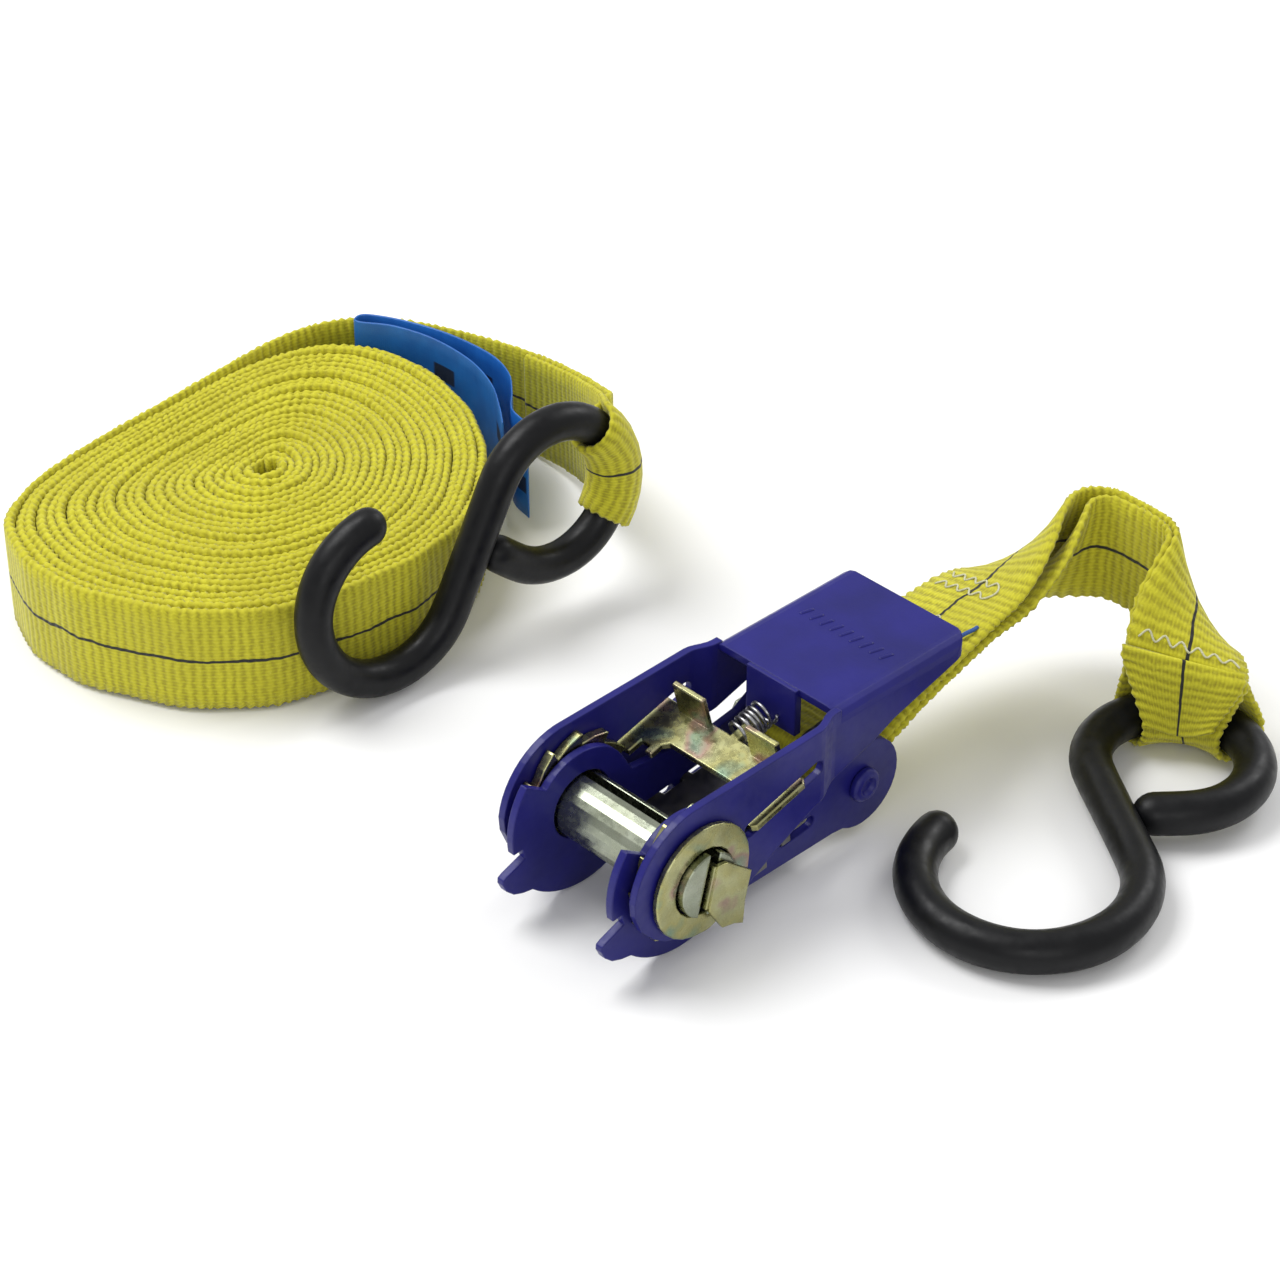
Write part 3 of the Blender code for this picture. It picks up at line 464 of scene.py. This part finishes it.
def spring(name, body, joint, keep, start, end, radius, wire, origin, slope):
    """Compression spring along a slope, its turns closer in the middle."""
    steps = SPRING_TURNS * SPRING_STEPS
    share = np.linspace(0, 1, steps + 1)
    eased = share + 0.35 * np.sin(2 * math.pi * share) / (2 * math.pi)
    turn = 2 * math.pi * SPRING_TURNS * share
    along = start + wire + (end - start - 2 * wire) * eased
    local = np.stack([radius * np.cos(turn), along, radius * np.sin(turn)], axis=1)
    tilt = Euler((math.radians(slope), 0, 0)).to_matrix().to_4x4()
    place = Vector(RATCHET_AT) + Vector((0, origin[0], AXIS_HEIGHT + origin[1]))
    matrix = np.array(Matrix.Translation(place) @ tilt)
    mesh = swept(name + "_wire", to_world(matrix, local), np.full(steps + 1, wire), 8)
    piece = new_piece(name + "_wire", mesh, SPRING_STEEL, body)
    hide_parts(name)
    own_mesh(piece)


spring("drive_pawl_spring", "handle", "drive_pawl_slide", DRIVE_SPRING_KEEP, **DRIVE_SPRING)
spring("lock_pawl_spring", "frame", "lock_pawl_slide", LOCK_SPRING_KEEP, **LOCK_SPRING)


# ---------------------------------------------------------------- webbing

COLUMNS = np.linspace(-0.5, 0.5, 9) * WEBBING_WIDTH


def ply_rows(stations, side, slack=None):
    """Rows along a route of (centre, direction across), side mm off it and slack mm further off."""
    centres = spline([centre for centre, _ in stations], ROUTE_STEPS) + RATCHET_AT
    acrosses = unit(spline([unit(np.array(across, float)) for _, across in stations], ROUTE_STEPS))
    normals = unit(np.cross(np.gradient(centres, axis=0), acrosses))
    extra = spline([[value] for value in slack or [0] * len(stations)], ROUTE_STEPS)
    middle = centres + normals * (side + math.copysign(1, side) * np.maximum(extra, 0))
    return middle[:, None, :] + acrosses[:, None, :] * COLUMNS[None, :, None]


def eye_loop_rows(matrix, mid_angle, wire, first, last):
    """Rows round the curved wire of a hook's eye, meeting the strap's two layers along tangents."""
    inverse = np.linalg.inv(matrix)
    radius = wire + EYE_CLEARANCE + WEBBING_THICK / 2
    rows = np.zeros((LOOP_STEPS + 1, len(COLUMNS), 3))
    share = np.linspace(0, 1, LOOP_STEPS + 1)
    middles = [to_world(inverse, row[len(COLUMNS) // 2][None])[0] for row in (first, last)]
    reaches = [np.linalg.norm(middle[:2]) for middle in middles]
    way = -1 if reaches[0] > reaches[1] else 1
    for column, w in enumerate(COLUMNS):
        along = math.radians(mid_angle) + w / HOOK_EYE
        outward = np.array([math.cos(along), math.sin(along), 0])
        ends = []
        for row, side in ((first, way), (last, -way)):
            local = to_world(inverse, row[column][None])[0] - outward * HOOK_EYE
            reach, height = np.dot(local, outward), local[2]
            ends.append(math.atan2(height, reach) + side * math.acos(radius / math.hypot(reach, height)))
        about = ends[0] + (ends[1] + way * 2 * math.pi - ends[0]) * share
        local = outward * (HOOK_EYE + radius * np.cos(about))[:, None]
        local[:, 2] += radius * np.sin(about)
        rows[:, column] = to_world(matrix, local)
    return rows


def leg_rows(first, last):
    """Rows of a straight run between two rows, without either of them."""
    share = np.linspace(0, 1, LEG_STEPS + 1)[1:-1, None, None]
    return first[None] * (1 - share) + last[None] * share


def webbing_surface(rows, thickness, closed=False):
    """Even rows of the strap's middle surface, with what is needed to find points on its faces."""
    if closed:
        rows = np.concatenate([rows, rows[:1]])
    middle = rows[:, len(COLUMNS) // 2]
    distance = np.concatenate([[0], np.cumsum(np.linalg.norm(np.diff(middle, axis=0), axis=1))])
    count = int(distance[-1] / ROW_STEP)
    at = np.linspace(0, distance[-1], count + 1)
    flat = rows.reshape(len(rows), -1)
    even = np.stack([np.interp(at, distance, flat[:, k]) for k in range(flat.shape[1])], axis=1)
    even = even.reshape(len(at), len(COLUMNS), 3)
    thick = np.interp(at, distance, np.append(thickness, thickness[:1]) if closed else thickness)
    if closed:
        even, thick, at = even[:-1], thick[:-1], at[:-1]
        along = np.roll(even, -1, axis=0) - np.roll(even, 1, axis=0)
    else:
        along = np.gradient(even, axis=0)
    across = np.gradient(even, axis=1)
    normal = unit(np.cross(along, across))
    return {"at": at, "mid": even, "normal": normal, "across": unit(across), "half": thick / 2,
            "length": distance[-1], "closed": closed}


def webbing_mesh(name, surface, rib=RIB_HEIGHT, fray=EDGE_FRAY):
    """Solid strap: cross ribs on both faces and slanted yarn loops along both edges."""
    at, mid, normal, across = (surface[key] for key in ("at", "mid", "normal", "across"))
    half = surface["half"][:, None]
    turn = 2 * math.pi * at / RIB_PITCH
    uneven = 0.8 * np.sin(at * 0.61) + 0.6 * np.sin(at * 0.173 + 1.3) + 0.5 * np.sin(at * 1.13 + 0.4)
    fray = fray * (1 + 0.35 * np.sin(at * 0.83 + 2.0) + 0.3 * np.sin(at * 0.31))
    ribs = rib * np.sin(turn + uneven)[:, None] * np.ones(len(COLUMNS))
    taper = np.ones(len(COLUMNS))
    taper[[0, -1]] = EDGE_TAPER
    swell = 1 + 0.22 * np.sin(turn + 0.9 + uneven)[:, None] * (taper < 1)
    face = (half * taper * swell + ribs * taper)[..., None]
    top = mid + normal * face
    bottom = mid - normal * (half * taper * (2 - swell) + ribs * taper)[..., None]
    for index, sign in ((0, -1), (-1, 1)):
        for side, phase in ((top, 0.7), (bottom, -0.7)):
            push = fray * (0.3 + np.sin(turn + phase + uneven + sign))
            side[:, index] += across[:, index] * (sign * push)[:, None]
    reach = 0.35 + fray * np.sin(turn + uneven)
    right = mid[:, -1] + across[:, -1] * (reach + 0.35 * half[:, 0])[:, None]
    left = mid[:, 0] - across[:, 0] * (reach + 0.35 * half[:, 0])[:, None]
    rings = np.concatenate([bottom, right[:, None], top[:, ::-1], left[:, None]], axis=1)
    share = COLUMNS / WEBBING_WIDTH + 0.5
    v = np.concatenate([share, [1.02], share[::-1], [-0.02]])
    u = at / WEBBING_WIDTH
    uvs = np.stack(np.broadcast_arrays(u[:, None], v[None, :]), axis=-1)
    return ring_mesh(name, rings, surface["closed"], uvs)


def on_strap(surface, s, w, side, lift):
    """A point on one face of a strap, at a distance along it and across it."""
    row = int(np.argmin(np.abs(surface["at"] - s)))
    place = (w / WEBBING_WIDTH + 0.5) * (len(COLUMNS) - 1)
    low = min(int(place), len(COLUMNS) - 2)
    share = place - low
    mid = surface["mid"][row, low] * (1 - share) + surface["mid"][row, low + 1] * share
    return mid + surface["normal"][row, low] * side * (surface["half"][row] + lift)


def nearest(surface, place):
    """Distance along the strap of the place in its later half that is nearest a point."""
    middle = surface["mid"][:, len(COLUMNS) // 2]
    gap = np.linalg.norm(middle - (np.array(place) + RATCHET_AT), axis=1)
    gap[:len(gap) // 2] = np.inf
    return surface["at"][int(np.argmin(gap))]


def stitching(name, surface, s_middle, side, body, rows, span):
    """One white thread in zigzag lines across the strap about one place along it."""
    points = []
    count = int((span[1] - span[0]) / STITCH_LENGTH)
    for row in range(rows):
        s = s_middle + STITCH_ROW_GAP * (row - (rows - 1) / 2)
        for i in range(count + 1):
            w = span[0] + (span[1] - span[0]) * (i if row % 2 == 0 else count - i) / count
            swing, lift = (STITCH_SWING, 0.1) if i % 2 else (-STITCH_SWING, 0.22)
            points.append(on_strap(surface, s + swing, w, side, lift))
    path, radii = rounded_ends(spline(points, 4), THREAD_RADIUS, steps=4)
    return new_piece(name, swept(name, path, radii, 6), WHITE_THREAD, body)


# Centre, direction across, slack of the outer layer
SHORT_ROUTE = [
    ((0.0, 59.6, 17.0), (1, 0, 0), 0.0),
    ((0.0, 73.0, 22.0), (1, 0, 0.05), 0.0),
    ((0.2, 91.5, 25.8), (0.98, 0, 0.2), 0.4),
    ((1.5, 103.0, 27.3), (0.95, -0.1, 0.3), 1.6),
    ((3.2, 113.0, 28.8), (0.76, 0, 0.65), 3.2),
    ((4.8, 121.2, 30.4), (0.42, 0, 0.91), 3.6),
    ((6.5, 127.4, 31.2), (0.1, 0, 1), 2.2),
    ((10.3, 131.6, 31.3), (0, 0, 1), 0.8),
    ((16.8, 132.5, 31.2), (0, 0, 1), 0.2),
    ((24.0, 132.3, 31.0), (-0.05, 0, 1), 0.0),
    ((30.6, 131.9, 30.4), (-0.25, -0.1, 0.96), 0.0),
    ((35.2, 128.9, 29.0), (-0.5, -0.3, 0.8), 0.0),
    ((38.3, 124.8, 26.6), (-0.68, -0.5, 0.5), 0.0),
    ((41.0, 121.3, 23.3), (-0.80, -0.52, 0.25), 0.0),
    ((42.3, 120.3, 20.5), (-0.86, -0.49, 0.13), 0.0),
]
GRIP_SEAM_AT = (1.3, 101.0, 28.5)
GRIP_INNER_SEAM_AT = (0.2, 89.0, 27.5)
HEM_AT = (41.2, 121.0, 22.6)
HEM_LENGTH = 17.0               # of the sewn end, from the hem down
HEM_GAP = 0.15
HEM_SHIFT = 0.8                 # of the sewn end across the strap


def bolt_loop_rows():
    """Rows round the sleeve on the frame's bolt."""
    radius = SLEEVE_RADIUS + SLEEVE_CLEARANCE + WEBBING_THICK / 2
    flat = arc((BOLT_AT[0], AXIS_HEIGHT + BOLT_AT[1]), radius, 85, 310, 24)
    centres = np.insert(flat, 0, 0.0, axis=1) + RATCHET_AT
    return centres[:, None, :] + np.array([1.0, 0, 0]) * COLUMNS[None, :, None]


def short_strap():
    """Doubled webbing from the bolt to the ratchet hook, with its seams."""
    half = (WEBBING_THICK + PLY_GAP) / 2
    route = [(centre, across) for centre, across, _ in SHORT_ROUTE]
    upper = ply_rows(route, -half, [slack for _, _, slack in SHORT_ROUTE])
    lower = ply_rows(route, half)
    eye_loop = eye_loop_rows(SHORT_HOOK, RATCHET_LOOP_ANGLE, WIRE_COATED, lower[-1], upper[-1])
    rows = np.concatenate([lower, leg_rows(lower[-1], eye_loop[0]), eye_loop,
                           leg_rows(eye_loop[-1], upper[-1]), upper[::-1], bolt_loop_rows()])
    surface = webbing_surface(rows, np.full(len(rows), WEBBING_PULLED), closed=True)
    mesh = webbing_mesh("short_strap", surface)
    piece = new_piece("short_strap", mesh, WEBBING, "frame")
    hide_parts("short_webbing")
    on_piece = [sewn_end(surface)]
    seams = (("grip_stitches", nearest(surface, GRIP_SEAM_AT), 2, (-10.0, 6.0)),
             ("grip_stitches_inner", nearest(surface, GRIP_INNER_SEAM_AT), 1, (-11.0, 2.0)),
             ("hem_stitches", nearest(surface, HEM_AT) + 1.6, 1, (-11.0, 11.0)))
    for name, s_middle, lines, span in seams:
        on_piece.append(stitching(name, surface, s_middle, 1, "frame", lines, span))


def sewn_end(surface):
    """The cut end of the short strap, sewn over the front of its hook loop and a little to one side."""
    top = nearest(surface, HEM_AT)
    chosen = (surface["at"] > top - HEM_LENGTH) & (surface["at"] < top)
    lifted = surface["half"][chosen] + HEM_GAP + WEBBING_THICK / 2
    rows = surface["mid"][chosen] + surface["normal"][chosen] * lifted[:, None, None]
    rows = rows + surface["across"][chosen] * HEM_SHIFT
    strip = webbing_surface(rows, np.full(len(rows), WEBBING_THICK - 0.2))
    mesh = webbing_mesh("short_strap_end", strip)
    return new_piece("short_strap_end", mesh, WEBBING, "frame")


ROLL_RIM = [
    (44, -11), (44.5, 7), (38, 25), (21, 44), (1, 54.5), (-20, 57), (-37, 50), (-44.5, 32), (-43, 1),
    (-38, -34), (-28, -52), (-10, -58.5), (7, -56.5), (27, -46), (39, -31)]
ROLL_AT = np.array([-140.0, 26.0, 0.0])
ROLL_CORE = np.array([-6.2, 3.2])
ROLL_TURNS = 25
ROLL_HEART = 0.055              # open heart of the roll against its rim
ROLL_OUTER = 1.012              # outermost turn against the rim
ROLL_DRAWN_IN = 0.988
ROLL_LEVEL = WEBBING_WIDTH / 2 + 0.12
ROLL_WIDTH = 0.965              # the wound webbing's width against the flat one's
RIM_STEPS = 24
LEAVES_ROLL_AT = (-44.5, 20.0)
LOWEST_EDGE = 0.9               # height of the lower edge; its yarn loops reach down to the ground

TAIL_ROUTE = [
    ((-186.2, 49.0, 12.7), (0, 0, 1)),
    ((-187.4, 62.0, 12.7), (0, 0, 1)),
    ((-186.6, 74.5, 12.7), (0, 0, 1)),
    ((-181.5, 85.5, 12.7), (0, 0, 1)),
    ((-171.0, 93.5, 12.8), (0, 0, 1)),
    ((-156.0, 99.5, 12.9), (0, 0, 1)),
    ((-140.0, 103.2, 13.4), (-0.02, 0, 1)),
    ((-124.5, 102.0, 15.4), (-0.08, 0.03, 1)),
    ((-111.5, 96.8, 19.4), (-0.14, 0.08, 1)),
    ((-101.5, 90.6, 24.6), (-0.12, 0.08, 1)),
    ((-96.0, 87.0, 27.8), (-0.08, 0.05, 1)),
]
TAIL_DOUBLED_FROM = 6           # station where the sewn end's layer starts
ROLL_ROWS_CUT = 14              # rows left out at the roll's outer end, where the tail takes over
JOIN_ROLL_ROWS = 40             # rows of the roll that are smoothed together with the tail
JOIN_TAIL_SKIPS = 4             # first rows of the tail that are left out of the join
JOIN_PASSES = 30


def roll_rows():
    """Wound turns, core first: each is the rim's outline drawn in towards the core, a little uneven."""
    rim = spline(ROLL_RIM + ROLL_RIM[:3], RIM_STEPS)
    rim = rim[RIM_STEPS:RIM_STEPS + RIM_STEPS * len(ROLL_RIM)][::-1]
    start = int(np.argmin(np.linalg.norm(rim - LEAVES_ROLL_AT, axis=1)))
    rim = np.roll(rim, -start, axis=0)
    per_turn = len(rim)
    total = ROLL_TURNS * per_turn
    back = np.arange(total, -1, -1) / per_turn      # turns back from the outer end
    shrink = ROLL_OUTER - back / ROLL_TURNS * (ROLL_OUTER - ROLL_HEART)
    index = (-np.arange(total, -1, -1)) % per_turn
    outward = rim[index] - ROLL_CORE
    loose = 1 + 0.004 * np.sin(back * 3.9) + 0.003 * np.sin(back * 2 * math.pi * 3.37)
    pleats = np.sin(back * 2 * math.pi * 17.3 + 2 * np.sin(back * 9.1))
    loose += (0.0018 + 0.003 * np.exp(-back)) * pleats
    plan = ROLL_CORE + outward * (shrink * loose)[:, None] * ROLL_DRAWN_IN
    pitch = np.linalg.norm(outward, axis=1) * (ROLL_OUTER - ROLL_HEART) / ROLL_TURNS
    thickness = np.clip(pitch * 1.03, 1.3, 2.45)
    level = ROLL_LEVEL + 0.4 * np.sin(back * 5.3) * np.sin(back * 0.9 + 0.5)
    level += 0.25 * np.sin(back * 2 * math.pi * 0.618) + 0.2 * np.sin(back * 23.7)
    centres = np.column_stack([plan, level]) + ROLL_AT + RATCHET_AT
    half_width = np.array([0, 0, 1.0]) * COLUMNS[None, :, None] * ROLL_WIDTH
    return centres[:-ROLL_ROWS_CUT, None, :] + half_width, thickness[:-ROLL_ROWS_CUT]


def long_strap():
    """The long strap in one piece: roll, tail, loop through the hook's eye, and the sewn end."""
    roll, roll_thickness = roll_rows()
    outer = ply_rows(TAIL_ROUTE, 0)
    inner = ply_rows(TAIL_ROUTE, WEBBING_THICK + PLY_GAP)[TAIL_DOUBLED_FROM * ROUTE_STEPS:]
    wire = WIRE_COATED * STRAP_HOOK_SCALE
    eye_loop = eye_loop_rows(LONG_HOOK, STRAP_LOOP_ANGLE, wire, outer[-1], inner[-1])
    joined = np.concatenate([roll[-JOIN_ROLL_ROWS:], outer[JOIN_TAIL_SKIPS:]])
    for _ in range(JOIN_PASSES):
        joined[1:-1] = (joined[:-2] + joined[2:] + 2 * joined[1:-1]) / 4
    tail = np.concatenate([joined, leg_rows(outer[-1], eye_loop[0]), eye_loop,
                           leg_rows(eye_loop[-1], inner[-1]), inner[::-1]])
    rows = np.concatenate([roll[:-JOIN_ROLL_ROWS], tail])
    rows[..., 2] = np.maximum(rows[..., 2], LOWEST_EDGE)
    thickness = np.concatenate([roll_thickness[:-JOIN_ROLL_ROWS], np.full(len(tail), WEBBING_PULLED)])
    surface = webbing_surface(rows, thickness)
    mesh = webbing_mesh("long_strap", surface)
    piece = new_piece("long_strap", mesh, WEBBING, "rolled_strap")
    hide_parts("coiled_webbing", "webbing_tail")
    seam = nearest(surface, TAIL_ROUTE[TAIL_DOUBLED_FROM][0]) + 6.0
    seams = [stitching("tail_stitches", surface, seam, -1, "rolled_strap", 3, (-10.5, 10.5))]


LABEL_ROUTE = [
    (-118.5, 74.6), (-124.5, 79.0), (-133.0, 84.2), (-144.0, 87.6), (-157.0, 88.0), (-168.0, 85.2),
    (-175.2, 80.6), (-177.4, 81.2), (-176.4, 84.2), (-168.0, 88.6), (-156.0, 92.0), (-143.0, 92.8),
    (-134.0, 90.4), (-127.5, 85.6), (-121.5, 80.2), (-114.5, 78.4)]
LABEL_LEVEL = 16.2              # of the label's middle


def label():
    """The folded label standing between the roll and the tail."""
    stations = [((x, y, LABEL_LEVEL), (0, 0, 1)) for x, y in LABEL_ROUTE]
    rows = ply_rows(stations, 0)
    surface = webbing_surface(rows, np.full(len(rows), LABEL_THICK))
    mesh = webbing_mesh("label_band", surface, rib=0.0, fray=0.0)
    piece = new_piece("label_band", mesh, LABEL, "rolled_strap")
    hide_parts("label")


short_strap()
long_strap()
label()


# ---------------------------------------------------------------- painted and plated pieces

SHARP_FROM = 32                 # degrees between faces


def dress(names, material):
    """Give CAD pieces their finish and smooth shading."""
    for name in names:
        piece = NODES[name]
        piece.data.materials.clear()
        piece.data.materials.append(material)
        piece.data.shade_smooth()
        piece.data.set_sharp_from_angle(angle=math.radians(SHARP_FROM))


dress(["frame_body", "handle", "frame_bolt"], BLUE)
dress(["bolt_nut", "bolt_sleeve", "spindle_half_front", "spindle_half_rear", "ratchet_hook_core",
       "strap_hook_core"], BRIGHT_ZINC)
dress(["ratchet_wheel_left", "ratchet_wheel_right", "spindle_washer_left", "spindle_washer_right",
       "retaining_clip_left", "retaining_clip_right", "drive_pawl"], YELLOW_ZINC)
dress(["lock_pawl"], DARK_STEEL)


def merged(name, meshes):
    """One mesh of several."""
    whole = bmesh.new()
    for mesh in meshes:
        whole.from_mesh(mesh)
    made = bpy.data.meshes.new(name)
    whole.to_mesh(made)
    whole.free()
    made.shade_smooth()
    return made


BAR_COUNT = 9
BAR_RADIUS = 0.5
BAR_SINKS = 0.22                # middle of each bar below the grip's top
FIRST_BAR_X = -11.0
BAR_PITCH = 2.75
BAR_LEAN = 0.5                  # of each end, to either side
BAR_ENDS_Y = (59.4, 63.0)


def grip_relief():
    """Plain raised bars on top of the grip."""
    bars = []
    level = GRIP_TOP - BAR_SINKS
    for i in range(BAR_COUNT):
        x = FIRST_BAR_X + i * BAR_PITCH
        start = (x - BAR_LEAN, BAR_ENDS_Y[0], level)
        end = (x + BAR_LEAN, BAR_ENDS_Y[1], level)
        path, radii = rounded_ends(np.linspace(start, end, 9) + RATCHET_AT, BAR_RADIUS, steps=4)
        bars.append(swept("bar", path, radii, 10))
    new_piece("grip_relief", merged("grip_relief", bars), BLUE, "handle")


LOOSE_THREAD_ROUTE = [(8.6, 84.5, 28.3), (9.6, 86.5, 29.6), (10.2, 88.6, 30.0), (10.0, 90.6, 29.8)]
LOOSE_THREAD_RADIUS = 0.45


def loose_thread():
    """Blue thread end where the strap leaves the grip."""
    points = np.array(LOOSE_THREAD_ROUTE) + RATCHET_AT
    path, radii = rounded_ends(spline(points, 8), LOOSE_THREAD_RADIUS, steps=4)
    mesh = swept("loose_thread", path, radii, 8)
    new_piece("loose_thread", mesh, BLUE_THREAD, "frame")


grip_relief()
loose_thread()


# ---------------------------------------------------------------- stage, in metres

FLOOR_REACH = 3.0
FLOOR_LEVEL = -0.0002
WORLD_LIGHT = 0.62
LIGHTS = [                      # name, place, size and power of each area light
    ("key", (-0.45, -0.25, 0.95), 0.6, 8.5),
    ("fill", (0.9, -0.7, 0.6), 0.6, 2.2),
    ("rim", (0.1, 0.9, 0.7), 0.5, 3.5),
]
CAMERA_ELEVATION = 35.25
CAMERA_HEADING = 46.0
CAMERA_DISTANCE = 0.79135
CAMERA_AIM = Vector((-0.01102, 0.01536, 0.0))
CAMERA_LENS = 101.25            # mm, on a sensor 36 mm wide


def studio():
    """Pale floor and soft lights."""
    floor_mesh = bpy.data.meshes.new("floor")
    corners = [(-1, -1), (1, -1), (1, 1), (-1, 1)]
    floor_mesh.from_pydata([(x * FLOOR_REACH, y * FLOOR_REACH, 0) for x, y in corners], [],
                           [(0, 1, 2, 3)])
    floor = bpy.data.objects.new("floor", floor_mesh)
    bpy.context.scene.collection.objects.link(floor)
    floor.location.z = FLOOR_LEVEL
    pale = Look("floor_white", 0.75)
    pale.colour(pale.ramp(pale.noise(0.01, 2), [(0.3, (0.86, 0.86, 0.86)), (0.7, (0.88, 0.88, 0.88))]))
    floor_mesh.materials.append(pale.material)

    world = bpy.data.worlds.new("studio")
    bpy.context.scene.world = world
    world.use_nodes = True
    background = world.node_tree.nodes["Background"]
    background.inputs[0].default_value = (1, 1, 1, 1)
    background.inputs[1].default_value = WORLD_LIGHT

    for name, place, size, power in LIGHTS:
        lamp = bpy.data.lights.new(name, 'AREA')
        lamp.size = size
        lamp.energy = power
        holder = bpy.data.objects.new(name, lamp)
        holder.location = place
        holder.rotation_euler = (-Vector(place)).to_track_quat('-Z', 'Y').to_euler()
        bpy.context.scene.collection.objects.link(holder)


def camera():
    """Camera at its distance from its aim, looking down at it."""
    elevation = math.radians(CAMERA_ELEVATION)
    heading = math.radians(CAMERA_HEADING)
    away = Vector((-math.sin(heading), math.cos(heading), 0))
    forward = away * math.cos(elevation) - Vector((0, 0, math.sin(elevation)))
    lens = bpy.data.cameras.new("camera")
    lens.lens = CAMERA_LENS
    lens.sensor_width = 36.0
    lens.clip_start = 0.01
    viewer = bpy.data.objects.new("camera", lens)
    viewer.location = CAMERA_AIM - forward * CAMERA_DISTANCE
    viewer.rotation_euler = forward.to_track_quat('-Z', 'Y').to_euler()
    bpy.context.scene.collection.objects.link(viewer)
    bpy.context.scene.camera = viewer


studio()
camera()
bpy.context.scene.view_settings.view_transform = 'Standard'
